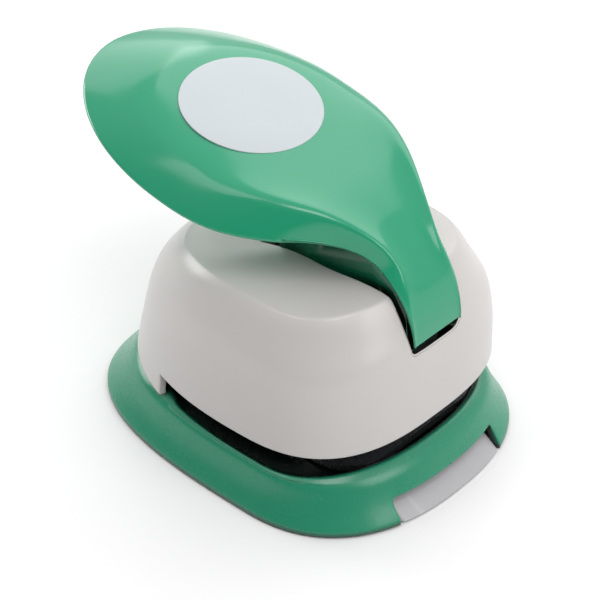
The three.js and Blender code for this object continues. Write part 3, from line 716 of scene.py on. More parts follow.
def piece(name, sheet, material, body, replaced):
    """A finished piece from a bmesh in the part's millimetres."""
    for v in sheet.verts:
        v.co = Vector(in_row(v.co))
    mesh = bpy.data.meshes.new(name)
    sheet.to_mesh(mesh)
    sheet.free()
    mesh.materials.append(material)
    for polygon in mesh.polygons:
        polygon.use_smooth = True
    made = bpy.data.objects.new(name, mesh)
    bpy.context.scene.collection.objects.link(made)
    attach(made, body)
    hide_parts(*replaced)
    return made


def faces_up(sheet):
    """Positive where the skin's faces look up on the whole."""
    return sum(f.normal.z * f.calc_area() for f in sheet.faces)


# Lever


def smooth(value):
    t = min(max(value, 0), 1)
    return t * t * (3 - 2 * t)


bend_start_x = LABEL_X + BEND_START * math.cos(PITCH)
bend_start_z = LABEL_Z - BEND_START * math.sin(PITCH)
bend_centre_x = bend_start_x - BEND_RADIUS * math.sin(PITCH)
bend_centre_z = bend_start_z - BEND_RADIUS * math.cos(PITCH)
bend_length = BEND_RADIUS * (math.pi / 2 - PITCH)
neck_foot = BEND_START + bend_length + bend_centre_z - NECK_FOOT_Z
pivot_x = bend_centre_x + BEND_RADIUS - PIVOT_SETBACK
press_angle = STROKE / pivot_x


def off_line(s, y, rise):
    """A point at s along the lever's middle line, y across and rise out of its top face."""
    if s <= BEND_START:
        tilt, x, z = PITCH, LABEL_X + s * math.cos(PITCH), LABEL_Z - s * math.sin(PITCH)
    elif s <= BEND_START + bend_length:
        tilt = PITCH + (s - BEND_START) / BEND_RADIUS
        x = bend_centre_x + BEND_RADIUS * math.sin(tilt)
        z = bend_centre_z + BEND_RADIUS * math.cos(tilt)
    else:
        tilt, x = math.pi / 2, bend_centre_x + BEND_RADIUS
        z = bend_centre_z - (s - BEND_START - bend_length)
    return (x + rise * math.sin(tilt), y, z + rise * math.cos(tilt))


def half_width(outline, warp, s):
    if s >= outline["neck_at"]:
        share = (s - outline["neck_at"]) / (neck_foot - outline["neck_at"])
        return outline["neck_half"] + (outline["foot_half"] - outline["neck_half"]) * share
    share = max((s - outline["centre"]) / (outline["neck_at"] - outline["centre"]), 0) ** warp
    return outline["half"] + (outline["neck_half"] - outline["half"]) * smooth(share)


def rim_depth(s):
    return RIM_DROP + (RIM_DROP_FOOT - RIM_DROP) * smooth((s - RIM_DROP_START) / (neck_foot - RIM_DROP_START))


def crease_rise(s):
    into_bend = smooth((s - CREASE["centre"]) / (BEND_START - CREASE["centre"]))
    into_neck = smooth((s - BEND_START - bend_length / 3) / (bend_length / 2))
    return CROWN_DROP * (into_bend - 1) + DISH_RISE * into_bend * (1 - into_neck)


def cross_line(turn, share):
    """Points from the middle of the top face over the crease to the rim.
    turn runs round the rear from 0 to a right angle, and share then runs along the front."""
    at_rear = share <= 0
    places = []
    for outline, warp in ((CREASE, CREASE_WARP), (RIM, RIM_WARP)):
        if at_rear:
            s = outline["centre"] - outline["rear"] * math.cos(turn)
            places.append((s, outline["half"] * math.sin(turn) ** REAR_TAPER))
        else:
            s = outline["centre"] + (neck_foot - outline["centre"]) * share
            places.append((s, half_width(outline, warp, s)))
    (crease_s, crease_y), (rim_s, rim_y) = places
    heart_s = CREASE["centre"] - HEART_SETBACK * math.cos(turn) if at_rear else crease_s

    def face_at(t):
        s = heart_s + (crease_s - heart_s) * t
        return np.array(off_line(s, crease_y * t, crease_rise(crease_s) * t**CROWN_POWER))

    def skirt_at(t):
        s = crease_s + (rim_s - crease_s) * t
        depth = crease_rise(crease_s) * (1 - t) - rim_depth(rim_s) * t + SKIRT_BULGE * 4 * t * (1 - t)
        return np.array(off_line(s, crease_y + (rim_y - crease_y) * t, depth))

    soft = CREASE_SOFTNESS
    soft_skirt = soft * SKIRT_SOFTNESS
    line = [face_at((1 - soft) * k / FACE_STEPS) for k in range(FACE_STEPS)]
    start, corner, end = face_at(1 - soft), face_at(1), skirt_at(soft_skirt)
    for k in range(CREASE_STEPS + 1):
        t = k / CREASE_STEPS
        line.append(start * (1 - t) ** 2 + corner * 2 * t * (1 - t) + end * t * t)
    for k in range(1, SKIRT_STEPS + 1):
        line.append(skirt_at(soft_skirt + (1 - soft_skirt) * k / SKIRT_STEPS))
    return line


def lever_skin():
    lines = [cross_line(math.pi / 2 * k / REAR_STEPS, 0) for k in range(REAR_STEPS + 1)]
    lines += [cross_line(math.pi / 2, k / FRONT_STEPS) for k in range(1, FRONT_STEPS + 1)]
    rows, columns = len(lines), len(lines[0])
    near = [p * np.array((1, -1, 1)) for line in lines for p in line]
    far = [p for line in lines for p in line]
    faces = grid_faces(rows, columns)
    mirrored = [tuple(reversed(face)) for face in grid_faces(rows, columns, rows * columns)]
    return skin_mesh(near + far, faces + mirrored)


def cam_point(angle):
    """A point of the cam's involute edge, which keeps its touch over the cutter's axis."""
    string = CAM_DROP + pivot_x * angle
    return (
        pivot_x - pivot_x * math.cos(angle) - string * math.sin(angle),
        PIVOT_Z + pivot_x * math.sin(angle) - string * math.cos(angle),
    )


def cheek_profile():
    back_s = (CHEEK_REAR_X - LABEL_X) / math.cos(PITCH)
    profile = []
    for i in range(TOP_PROFILE_STEPS + 1):
        s = back_s + (neck_foot - back_s) * i / TOP_PROFILE_STEPS
        x, _, z = off_line(s, 0, -LEVER_WALL / 2)
        profile.append((x, z))
    for i in range(HUB_STEPS + 1):
        turn = -math.pi / 4 - math.pi / 3 * i / HUB_STEPS
        profile.append((pivot_x + HUB_RADIUS * math.cos(turn), PIVOT_Z + HUB_RADIUS * math.sin(turn)))
    profile += [cam_point(press_angle * i / CAM_STEPS) for i in range(CAM_STEPS + 1)]
    last_x, last_z = cam_point(press_angle)
    profile.append((last_x - CAM_TAIL * math.cos(press_angle), last_z + CAM_TAIL * math.sin(press_angle)))
    return profile


def add_slab(sheet, profile, from_y, to_y, edge):
    """A plate with the side profile, its edges rounded, added to the sheet."""
    near = [sheet.verts.new((x, from_y, z)) for x, z in profile]
    far = [sheet.verts.new((x, to_y, z)) for x, z in profile]
    caps = [sheet.faces.new(near), sheet.faces.new(list(reversed(far)))]
    count = len(profile)
    for i in range(count):
        j = (i + 1) % count
        sheet.faces.new((near[j], near[i], far[i], far[j]))
    rims = [e for cap in caps for e in cap.edges]
    round_edges(sheet, rims, edge, SLAB_EDGE_STEPS)


def make_lever():
    sheet = thicken(lever_skin(), lambda spot: LEVER_WALL, LEVER_EDGE, faces_up)
    profile = cheek_profile()
    for side in (-1, 1):
        near, far = sorted((side * CHEEK_INNER, side * CHEEK_OUTER))
        add_slab(sheet, profile, near, far, CHEEK_EDGE)
    return piece("moulded_lever", sheet, polished_lit_green_abs, "lever_body", ["lever"])


def make_label():
    """The pale disc, a shallow turned form with a rounded edge."""
    disc = bmesh.new()
    rounding = [
        (LABEL_RADIUS - LABEL_EDGE * (1 - math.sin(a)), LABEL_TOP - LABEL_EDGE * (1 - math.cos(a)))
        for a in (math.pi / 2 * k / LABEL_EDGE_STEPS for k in range(LABEL_EDGE_STEPS + 1))
    ]
    profile = [(LABEL_RADIUS * LABEL_CENTRE_SHARE, LABEL_TOP), *rounding, (LABEL_RADIUS, LABEL_FOOT)]
    rings = []
    for radius, rise in profile:
        ring = []
        for k in range(LABEL_STEPS):
            turn = 2 * math.pi * k / LABEL_STEPS
            spot = off_line(radius * math.cos(turn), radius * math.sin(turn), rise)
            ring.append(disc.verts.new(spot))
        rings.append(ring)
    join_rings(disc, rings)
    disc.faces.new(rings[0])
    disc.faces.new(list(reversed(rings[-1])))
    bmesh.ops.recalc_face_normals(disc, faces=disc.faces[:])
    return piece("size_disc", disc, pale_vinyl, "lever_body", ["shape_label"])


# Cover


def spline_level(levels, v):
    """The outline and heights at v between the levels, on a smooth curve through them."""
    last = len(levels) - 1
    v = min(max(v, 0), last)
    i = min(int(v), last - 1)
    t = v - i
    before, start, end, after = (levels[min(max(k, 0), last)] for k in (i - 1, i, i + 1, i + 2))
    level = {}
    for key in start:
        a, b, c, d = before[key], start[key], end[key], after[key]
        if i == 0:
            a = 2 * b - c
        if i == last - 1:
            d = 2 * c - b
        square, cube = 2 * a - 5 * b + 4 * c - d, 3 * b - a - 3 * c + d
        level[key] = 0.5 * (2 * b + (c - a) * t + square * t**2 + cube * t**3)
    return level


def cover_arc(v, ahead):
    """The level at v, with its curve's power and its reach before or behind the middle."""
    level = spline_level(COVER_LEVELS, v)
    if ahead:
        return level, level["power"], level["front"] - COVER_MIDDLE
    return level, COVER_REAR_POWER, COVER_MIDDLE - level["rear"]


def cover_point(turn, v):
    """A point of the cover's outside. v counts the levels from the skirt up."""
    along, across = math.cos(turn), math.sin(turn)
    ahead = along >= 0
    level, power, reach = cover_arc(v, ahead)
    x = COVER_MIDDLE + reach * math.copysign(abs(along) ** (2 / power), along)
    y = level["side"] * math.copysign(abs(across) ** (2 / power), across)
    end_z = level["front_z"] if ahead else level["rear_z"]
    return x, y, level["side_z"] + (end_z - level["side_z"]) * along**2


def turn_at(x, v):
    """The turn at which level v reaches x."""
    ahead = x >= COVER_MIDDLE
    _, power, reach = cover_arc(v, ahead)
    share = min(abs((x - COVER_MIDDLE) / reach), 1) ** (power / 2)
    return math.acos(share if ahead else -share)


def bisect(low, high, test):
    """The value between low and high at which the test turns true."""
    for _ in range(BISECT_STEPS):
        middle = (low + high) / 2
        if test(middle):
            high = middle
        else:
            low = middle
    return (low + high) / 2


def on_plan(x, y):
    """(turn, v) of the cover's point over x, y."""
    ahead = x >= COVER_MIDDLE

    def inside(v):
        level, power, reach = cover_arc(v, ahead)
        return abs((x - COVER_MIDDLE) / reach) ** power + (y / level["side"]) ** power > 1

    v = bisect(SKIRT_LEVEL, len(COVER_LEVELS) - 1, inside)
    return turn_at(x, v), v


def on_front(y, z):
    """(turn, v) of the point at y, z on the cover's front wall."""

    def turn_for(v):
        level = spline_level(COVER_LEVELS, v)
        return math.asin(min(abs(y) / level["side"], 1) ** (level["power"] / 2))

    v = bisect(0, FRONT_LEVEL, lambda value: cover_point(turn_for(value), value)[2] > z)
    return turn_for(v), v


def lip_height(x):
    share = (x - NOTCH_X) / (BASE_PLAN["front"] - NOTCH_X)
    return LIP_REAR_Z + (LIP_FRONT_Z - LIP_REAR_Z) * share


def lip_level(turn):
    """The level at which the lower lip cuts the cover at a turn."""

    def above_lip(v):
        x, _, z = cover_point(turn, v)
        return z > lip_height(x)

    return bisect(0, SKIRT_LEVEL, above_lip)


def slot_edge(r):
    """(turn, v) along the slot's edge, from the middle of its foot to the middle of its rear.
    r rounds the corner at the foot."""
    path = []
    for k in range(SLOT_CORNER_STEPS + 1):
        path.append(on_front((SLOT_HALF - r) * k / SLOT_CORNER_STEPS, SLOT_FOOT_Z))
    for k in range(1, SLOT_CORNER_STEPS + 1):
        turn = math.pi / 2 * k / SLOT_CORNER_STEPS
        path.append(on_front(SLOT_HALF - r + r * math.sin(turn), SLOT_FOOT_Z + r * (1 - math.cos(turn))))
    side_top = on_front(SLOT_HALF, SLOT_FOOT_Z + r)
    v = side_top[1]
    x_start = cover_point(*side_top)[0]
    while x_start > COVER_LEVELS[SHOULDER_LEVEL]["front"] - 1:
        v += SLOT_CLIMB
        level = spline_level(COVER_LEVELS, v)
        turn = math.asin((SLOT_HALF / level["side"]) ** (level["power"] / 2))
        x_start = cover_point(turn, v)[0]
        path.append((turn, v))
    r = SLOT_REAR_CORNER
    for k in range(1, SLOT_SIDE_STEPS + 1):
        path.append(on_plan(x_start + (SLOT_REAR_X + r - x_start) * k / SLOT_SIDE_STEPS, SLOT_HALF))
    for k in range(1, SLOT_REAR_STEPS + 1):
        turn = math.pi / 2 * k / SLOT_REAR_STEPS
        path.append(on_plan(SLOT_REAR_X + r * (1 - math.sin(turn)), SLOT_HALF - r + r * math.cos(turn)))
    for k in range(1, SLOT_CORNER_STEPS + 1):
        path.append(on_plan(SLOT_REAR_X, (SLOT_HALF - r) * (1 - k / SLOT_CORNER_STEPS)))
    path[-1] = (math.pi, path[-1][1])
    return path


def resample(path, place, count):
    """count points evenly along the path, measured where place puts them."""
    spots = np.array([place(*p) for p in path])
    lengths = np.concatenate([[0], np.cumsum(np.linalg.norm(np.diff(spots, axis=0), axis=1))])
    wanted = np.linspace(0, lengths[-1], count)
    coords = np.array(path)
    return [tuple(np.interp(w, lengths, coords[:, k]) for k in range(coords.shape[1])) for w in wanted]


def cover_half(slot_corner):
    """Half the cover as columns from its foot to the slot. In front of the notch they start at the lip."""
    lip_at_notch = bisect(0, SKIRT_LEVEL, lambda v: cover_point(turn_at(NOTCH_X, v), v)[2] > LIP_REAR_Z)
    notch_turn = turn_at(NOTCH_X, lip_at_notch)
    upper = slot_edge(slot_corner)
    split = next(k for k, (turn, _) in enumerate(upper) if turn > notch_turn + NOTCH_CLEAR)
    head = resample(upper[: split + 1], cover_point, COVER_FRONT_STEPS + 1)
    tail = resample(upper[split:], cover_point, COVER_REAR_STEPS + 1)
    upper = head[:-1] + tail
    columns = []
    for k, (slot_turn, slot_v) in enumerate(upper):
        ahead = k < COVER_FRONT_STEPS
        share = k / COVER_FRONT_STEPS if ahead else (k - COVER_FRONT_STEPS) / COVER_REAR_STEPS
        turn = notch_turn * share if ahead else notch_turn + (math.pi - notch_turn) * share
        lip_v = lip_level(turn) if ahead else lip_at_notch
        line = []
        for i in range(SKIRT_ROWS):
            v = lip_v * i / SKIRT_ROWS
            at_notch = turn_at(NOTCH_X, v)
            low_turn = at_notch * share if ahead else at_notch + (math.pi - at_notch) * share
            line.append(cover_point(low_turn, v))
        for i in range(COVER_ROWS + 1):
            t = i / COVER_ROWS
            line.append(cover_point(turn + (slot_turn - turn) * t, lip_v + (slot_v - lip_v) * t))
        columns.append(line)
    return columns


def cover_skin():
    points = []
    faces = []
    for side, corner in SLOT_CORNERS.items():
        columns = cover_half(corner)
        rows, wide = len(columns), len(columns[0])
        for face in grid_faces(rows, wide):
            if face[0] // wide >= COVER_FRONT_STEPS or face[0] % wide >= SKIRT_ROWS:
                placed = [len(points) + i for i in face]
                faces.append(placed if side > 0 else placed[::-1])
        points += [(x, side * y, z) for line in columns for x, y, z in line]
    return skin_mesh(points, faces)


def faces_out(sheet):
    """Positive where the skin's faces look away from the part's middle."""
    middle = Vector((0, 0, MIDDLE_HEIGHT))
    return sum(f.normal.dot(f.calc_center_median() - middle) * f.calc_area() for f in sheet.faces)


def cover_wall(spot):
    """The wall runs out thin towards the slot's foot, so that the neck has room in front of the pivot."""
    if spot.x < COVER_MIDDLE:
        return COVER_WALL
    below = max(SLOT_FOOT_Z - spot.z, 0)
    beside = max(abs(spot.y) - SLOT_HALF, 0)
    above = max(spot.z - SLOT_FOOT_Z, 0)
    blend = smooth((math.hypot(below, beside) + above / 2) / SLOT_FOOT_BLEND)
    return SLOT_FOOT_WALL + (COVER_WALL - SLOT_FOOT_WALL) * blend


def add_ledge(sheet, side):
    """A ledge along the inside of the cover over the paper's throat, beside the frame."""
    rows = []
    for k in range(LEDGE_STEPS + 1):
        x = LEDGE_REAR_X + (LEDGE_FRONT_X - LEDGE_REAR_X) * k / LEDGE_STEPS
        level = bisect(0, SKIRT_LEVEL, lambda v: cover_point(turn_at(x, v), v)[2] > LEDGE_Z)
        wall = cover_point(turn_at(x, level), level)[1] - COVER_WALL / 2
        rows.append([
            sheet.verts.new((x, side * y, z))
            for y, z in (
                (LEDGE_INNER, LEDGE_Z),
                (wall, LEDGE_Z),
                (wall, LEDGE_Z - LEDGE_THICKNESS),
                (LEDGE_INNER, LEDGE_Z - LEDGE_THICKNESS),
            )
        ])
    faces = [rows[0], rows[-1][::-1]]
    for near, far in zip(rows, rows[1:]):
        faces += [(near[i], far[i], far[(i + 1) % 4], near[(i + 1) % 4]) for i in range(4)]
    made = [sheet.faces.new(face) for face in faces]
    bmesh.ops.recalc_face_normals(sheet, faces=made)


def make_cover():
    sheet = thicken(cover_skin(), cover_wall, COVER_EDGE, faces_out)
    for side in (-1, 1):
        add_ledge(sheet, side)
    for name in COVER_SCREWS:
        x, y, _, tip = spot_of(name)
        roof = cover_point(*on_plan(x - COVER_BOSS_RADIUS, abs(y) + COVER_BOSS_RADIUS))[2] - COVER_WALL
        foot, top = FLOOR_HEIGHT + SEAT_GAP, tip + SEAT_GAP
        add_tube(sheet, x, y, foot, top, COVER_BOSS_RADIUS, BOSS_BORE, INSIDE_EDGE)
        add_rod(sheet, x, y, top, roof, COVER_BOSS_RADIUS, 0)
    return piece("moulded_cover", sheet, grey_abs, "housing", ["housing_cover"])


# Base


def base_levels():
    """Heights and insets up the base's side, with its corners softened."""
    corners = [
        (0, 0, 0),
        (RIM_HEIGHT, 0, 0),
        ((RIM_HEIGHT + FLARE_HEIGHT) / 2, 0.5, FLARE_HOLLOW),
        (FLARE_HEIGHT, 1, 0),
        (FLARE_HEIGHT + BEVEL_HEIGHT, 1, BEVEL_INSET),
        (FLOOR_HEIGHT, 1, FLOOR_INSET),
        (FLOOR_HEIGHT, 1, FLOOR_INSET + FLOOR_LAP),
    ]
    levels = [np.array(corners[0], float)]
    for before, at, after, soft in zip(corners, corners[1:], corners[2:], CORNER_SOFTNESS[1:]):
        before, at, after = (np.array(p, float) for p in (before, at, after))

        def cut(p):
            flat = np.array((p[0] - at[0], (p[1] - at[1]) * FLARE_RUN + p[2] - at[2]))
            return at + (p - at) * min(soft / np.linalg.norm(flat), SOFT_LIMIT)

        start, end = cut(before), cut(after)
        for t in np.linspace(0, 1, BEND_POINTS):
            levels.append(start * (1 - t) ** 2 + at * 2 * t * (1 - t) + end * t * t)
    levels.append(np.array(corners[-1], float))
    filled = []
    for low, high in zip(levels, levels[1:]):
        steps = max(1, int(abs(high[0] - low[0]) / LEVEL_STEP))
        filled += [low + (high - low) * k / steps for k in range(steps)]
    return filled + [levels[-1]]


BASE_LEVELS = base_levels()


def crest_share(along, across):
    """How much of the bevel is left: it dies away along the sides, where the paper goes in."""
    x = BASE_PLAN["middle"] + (BASE_PLAN["middle"] - BASE_PLAN["rear"]) * min(along, 0)
    return 1 - CREST_DIP * across**4 * smooth((x - NOTCH_X) / DIP_START)


def base_row(v):
    """Height, share of the flare and inset past it at v, which counts the levels from the rim up."""
    i = min(int(v), len(BASE_LEVELS) - 2)
    return BASE_LEVELS[i] + (BASE_LEVELS[i + 1] - BASE_LEVELS[i]) * (v - i)


def base_point(turn, v):
    """A point of the base's outside."""
    z, share, extra = base_row(v)
    along, across = math.cos(turn), math.sin(turn)
    if share >= 1:
        left = crest_share(along, across)
        z, extra = FLARE_HEIGHT + (z - FLARE_HEIGHT) * left, extra * left
    ahead = along >= 0
    power = BASE_PLAN["front_power"] if ahead else BASE_PLAN["rear_power"]
    end_inset = FLARE_INSET["front" if ahead else "rear"] * share + extra
    whole = BASE_PLAN["front"] - BASE_PLAN["middle"] if ahead else BASE_PLAN["middle"] - BASE_PLAN["rear"]
    reach = whole - end_inset
    side = BASE_PLAN["side"] - FLARE_INSET["side"] * share - extra
    x = BASE_PLAN["middle"] + reach * math.copysign(abs(along) ** (2 / power), along)
    return x, side * math.copysign(abs(across) ** (2 / power), across), z


def base_turn(y, v):
    """The turn at which level v reaches y in front."""
    _, share, extra = base_row(v)
    side = BASE_PLAN["side"] - FLARE_INSET["side"] * share - extra
    return math.asin((y / side) ** (BASE_PLAN["front_power"] / 2))


def height_index(z):
    """The level count at height z on the flare."""
    return bisect(0, len(BASE_LEVELS) - LEVELS_OVER_FLARE, lambda v: base_point(0, v)[2] > z)


def mouth_half(z):
    """Half the mouth's width at a height, with its upper corners rounded."""
    head = MOUTH_HALF - MOUTH_TAPER
    share = (z - MOUTH_SHOULDER_Z) / (MOUTH_HEIGHT - MOUTH_SHOULDER_Z)
    half = MOUTH_HALF - MOUTH_TAPER * min(max(share, 0), 1)
    below = min(max(z - (MOUTH_HEIGHT - MOUTH_CORNER), 0), MOUTH_CORNER)
    return min(half, head - MOUTH_CORNER + math.sqrt(MOUTH_CORNER**2 - below**2)) if below else half


def mouth_top(y):
    """Height of the mouth's upper edge at y."""
    past = max(y - (MOUTH_HALF - MOUTH_TAPER - MOUTH_CORNER), 0)
    return MOUTH_HEIGHT - MOUTH_CORNER + math.sqrt(max(MOUTH_CORNER**2 - past**2, 0))


def floor_line(edge):
    """From the floor's edge over the die's pocket to the round hole, in the direction of the edge."""
    middle = (DIE_POCKET["front"] + DIE_POCKET["rear"]) / 2
    way = math.atan2(edge[1], edge[0] - middle)
    outward = np.array((math.cos(way), math.sin(way), 0))
    down = np.array((0, 0, -1))
    depth = edge[2] - DIE_POCKET_FLOOR
    soft = min(POCKET_EDGE, depth / 3)
    brim = edge - outward * POCKET_SHOULDER
    line = [brim + (outward + down) * soft * CORNER_SHARE, brim + down * soft, brim + down * (depth - soft)]
    corner = brim + down * depth - outward * soft
    round_way = math.atan2(corner[1], corner[0])
    hole_x, hole_y = DIE_HOLE_RADIUS * math.cos(round_way), DIE_HOLE_RADIUS * math.sin(round_way)
    hole = np.array((hole_x, hole_y, DIE_POCKET_FLOOR))
    return line + [corner + (hole - corner) * t for t in POCKET_FLOOR_SHARES]


def base_skin():
    """The base as columns from its rim to the die's hole. Over the mouth they start at its upper edge."""
    corner_z = MOUTH_HEIGHT - MOUTH_CORNER * (1 - math.sqrt(0.5))
    corner_y = MOUTH_HALF - MOUTH_TAPER - MOUTH_CORNER * (1 - math.sqrt(0.5))
    mouth_v = height_index(corner_z)
    last = len(BASE_LEVELS) - 1
    lower = [v for v in range(last + 1) if v < mouth_v - MOUTH_LEVEL_CLEAR]
    upper = [v for v in range(last + 1) if v > mouth_v + MOUTH_LEVEL_CLEAR]
    levels = [*lower, mouth_v, *upper]
    mouth_row = len(lower)
    columns = []
    for k in range(MOUTH_STEPS + BASE_STEPS + 1):
        line = []
        for row, level in enumerate(levels):
            v = level
            side_y = mouth_half(base_point(0, v)[2]) if row < mouth_row else corner_y
            if k <= MOUTH_STEPS:
                y = side_y * k / MOUTH_STEPS
                lift = height_index(mouth_top(y)) - mouth_v
                v += lift * max(1 - abs(row - mouth_row) / MOUTH_BLEND, 0) if k < MOUTH_STEPS else 0
                turn = base_turn(y, v)
            else:
                start = base_turn(side_y, v)
                turn = start + (math.pi - start) * (k - MOUTH_STEPS) / BASE_STEPS
            line.append(np.array(base_point(turn, v)))
        columns.append(line + floor_line(line[-1]))
    far = [tuple(p) for line in columns for p in line]
    near = [(x, -y, z) for x, y, z in far]
    rows, wide = len(columns), len(columns[0])
    kept = [
        face
        for face in grid_faces(rows, wide)
        if face[0] // wide >= MOUTH_STEPS or face[0] % wide >= mouth_row
    ]
    mirrored = [tuple(rows * wide + i for i in reversed(face)) for face in kept]
    return skin_mesh(far + near, kept + mirrored)


def within_cavity(spot, wall=BASE_WALL * CAVITY_WALL_SHARE):
    """Keeps a point of the base's inner side under the floor and a wall inside the flare."""
    z = min(spot.z, CAVITY_HEIGHT)
    share = max(z - RIM_HEIGHT, 0) / (CAVITY_HEIGHT - RIM_HEIGHT) * CAVITY_LEAN
    ahead = spot.x >= BASE_PLAN["middle"]
    key = "front" if ahead else "rear"
    reach = abs(BASE_PLAN[key] - BASE_PLAN["middle"]) - FLARE_INSET[key] * share - wall
    side = BASE_PLAN["side"] - FLARE_INSET["side"] * share - wall
    power = BASE_PLAN[key + "_power"]
    dx = spot.x - BASE_PLAN["middle"]
    far = (abs(dx) / reach) ** power + (abs(spot.y) / side) ** power
    shrink = far ** (-1 / power) if far > 1 else 1
    return Vector((BASE_PLAN["middle"] + dx * shrink, spot.y * shrink, z))


def add_base_inside(sheet):
    """Screw bosses, the feet's pads, and the tray's rails and stop under the floor."""
    for name in [*FRAME_SCREWS, *COVER_SCREWS]:
        x, y, foot, _ = spot_of(name)
        boss_foot = foot + SCREW_HEAD + SEAT_GAP
        add_tube(sheet, x, y, boss_foot, CAVITY_HEIGHT, BOSS_RADIUS, BOSS_BORE, INSIDE_EDGE)
    for name in RUBBER_FEET:
        x, y, _, top = spot_of(name)
        add_rod(sheet, x, y, top + SEAT_GAP, CAVITY_HEIGHT, FOOT_PAD_RADIUS, INSIDE_EDGE)
    tray_rear = TRAY_REAR_X - SEAT_GAP
    reach = TRAY_HALF + RUNNER_REACH
    add_block(
        sheet,
        (tray_rear - RAIL_THICKNESS, -reach, TRAY_FOOT_Z),
        (tray_rear, reach, CAVITY_HEIGHT),
        INSIDE_EDGE,
    )
    groove_foot = TRAY_TOP_Z - RUNNER_HEIGHT - SEAT_GAP
    groove_top = TRAY_TOP_Z + SEAT_GAP
    for side in (-1, 1):
        inner = side * (TRAY_HALF + SEAT_GAP)
        outer = inner + side * RAIL_THICKNESS
        web = side * (reach + SEAT_GAP)
        near, far = sorted((inner, outer))
        add_block(sheet, (tray_rear, near, groove_top), (RAIL_FRONT_X, far, CAVITY_HEIGHT), INSIDE_EDGE)
        add_block(sheet, (tray_rear, near, TRAY_FOOT_Z), (RAIL_FRONT_X, far, groove_foot), INSIDE_EDGE)
        near, far = sorted((web, outer))
        add_block(sheet, (tray_rear, near, groove_foot), (RAIL_FRONT_X, far, groove_top), INSIDE_EDGE / 3)


def clear_of_tray(spot):
    """Keeps a point of the wall out of the straight way that the tray takes through the mouth."""
    half = MOUTH_HALF - MOUTH_TAPER
    below, beside = MOUTH_HEIGHT - spot.z, half - abs(spot.y)
    if spot.x < MOUTH_WALL_X or below < 0 or beside < 0:
        return spot
    to_side = beside < min(below, MOUTH_CLEARED) or beside < below
    to_head = below < MOUTH_CLEARED or not to_side
    return Vector((
        spot.x,
        math.copysign(half, spot.y) if to_side or beside < MOUTH_CLEARED else spot.y,
        MOUTH_HEIGHT if to_head else spot.z,
    ))


def make_base():
    sheet = thicken(base_skin(), lambda spot: BASE_WALL, BASE_EDGE, faces_out, within_cavity)
    for v in sheet.verts:
        v.co = clear_of_tray(v.co)
    inside = bmesh.new()
    add_base_inside(inside)
    for v in inside.verts:
        v.co = within_cavity(v.co, BASE_WALL / 2)
    add_sheet(sheet, inside)
    return piece("moulded_base", sheet, satin_shaded_green_abs, "housing", ["base_shell"])


# Chip tray


def tray_front(y, inset, half):
    """Where the ramp's outline at that inset runs, with rounded ends at the tray's sides."""
    reach = BASE_PLAN["front"] - BASE_PLAN["middle"] - inset
    power = BASE_PLAN["front_power"]
    bow = (1 - (abs(y) / (BASE_PLAN["side"] - inset)) ** power) ** (1 / power)
    past = max(abs(y) - (half - TRAY_CORNER), 0)
    corner = TRAY_CORNER - math.sqrt(max(TRAY_CORNER**2 - past**2, 0))
    return BASE_PLAN["middle"] + reach * bow - corner


def tray_outline(z, ramp, shrink):
    """A closed line round the tray at height z. ramp is the ramp's inset, shrink draws in sides and rear."""
    half = TRAY_HALF - shrink
    inset = ramp + TRAY_RAMP * (z - TRAY_FOOT_Z) / (TRAY_TOP_Z - TRAY_FOOT_Z)
    turns = [math.pi / 2 * k / TRAY_CORNER_STEPS for k in range(TRAY_CORNER_STEPS + 1)]
    ends = [half - TRAY_CORNER * (1 - math.sin(turn)) for turn in turns]
    straight = 2 * half - 2 * TRAY_CORNER
    span = [half - TRAY_CORNER - straight * k / TRAY_FRONT_STEPS for k in range(TRAY_FRONT_STEPS + 1)]
    across = [*reversed(ends), *span[1:-1], *[-y for y in ends]]
    line = [(tray_front(y, inset, half), y, z) for y in across]
    side_x = line[0][0]
    rear = TRAY_REAR_X + shrink
    steps = TRAY_SIDE_STEPS
    line += [(side_x + (rear - side_x) * k / steps, -half, z) for k in range(1, steps + 1)]
    line += [(rear, -half + 2 * half * k / steps, z) for k in range(1, steps + 1)]
    line += [(rear + (side_x - rear) * k / steps, half, z) for k in range(1, steps)]
    return line


def make_tray():
    soft = TRAY_EDGE
    foot, top = TRAY_FOOT_Z, TRAY_TOP_Z
    slope = math.hypot(TRAY_RAMP, top - foot) / (top - foot)
    floor_z = foot + TRAY_FLOOR
    ramp_wall = TRAY_WALL * slope
    cut = soft * CORNER_SHARE
    levels = [
        (foot, soft, soft),
        (foot + cut, cut, cut),
        (foot + soft, 0, 0),
        (top - soft, 0, 0),
        (top - cut, soft * BRIM_LEAN, soft * BRIM_LEAN),
        (top, soft * BRIM_FLAT, soft * BRIM_FLAT),
        (top, ramp_wall - cut, TRAY_WALL - cut),
        (top - soft, ramp_wall, TRAY_WALL),
        (floor_z + soft, ramp_wall, TRAY_WALL),
        (floor_z, ramp_wall + soft, TRAY_WALL + soft),
    ]
    sheet = bmesh.new()
    rings = [[sheet.verts.new(p) for p in tray_outline(*level)] for level in levels]
    join_rings(sheet, rings)
    sheet.faces.new(list(reversed(rings[0])))
    sheet.faces.new(rings[-1])
    for side in (-1, 1):
        near, far = sorted((side * (TRAY_HALF - TRAY_WALL / 2), side * (TRAY_HALF + RUNNER_REACH)))
        add_block(
            sheet,
            (TRAY_REAR_X, near, TRAY_TOP_Z - RUNNER_HEIGHT),
            (TRAY_REAR_X + RUNNER_LENGTH, far, TRAY_TOP_Z),
            INSIDE_EDGE / 2,
        )
    bmesh.ops.recalc_face_normals(sheet, faces=sheet.faces[:])
    return piece("drawer", sheet, tray_abs, "tray_body", ["chip_tray"])


# Return springs


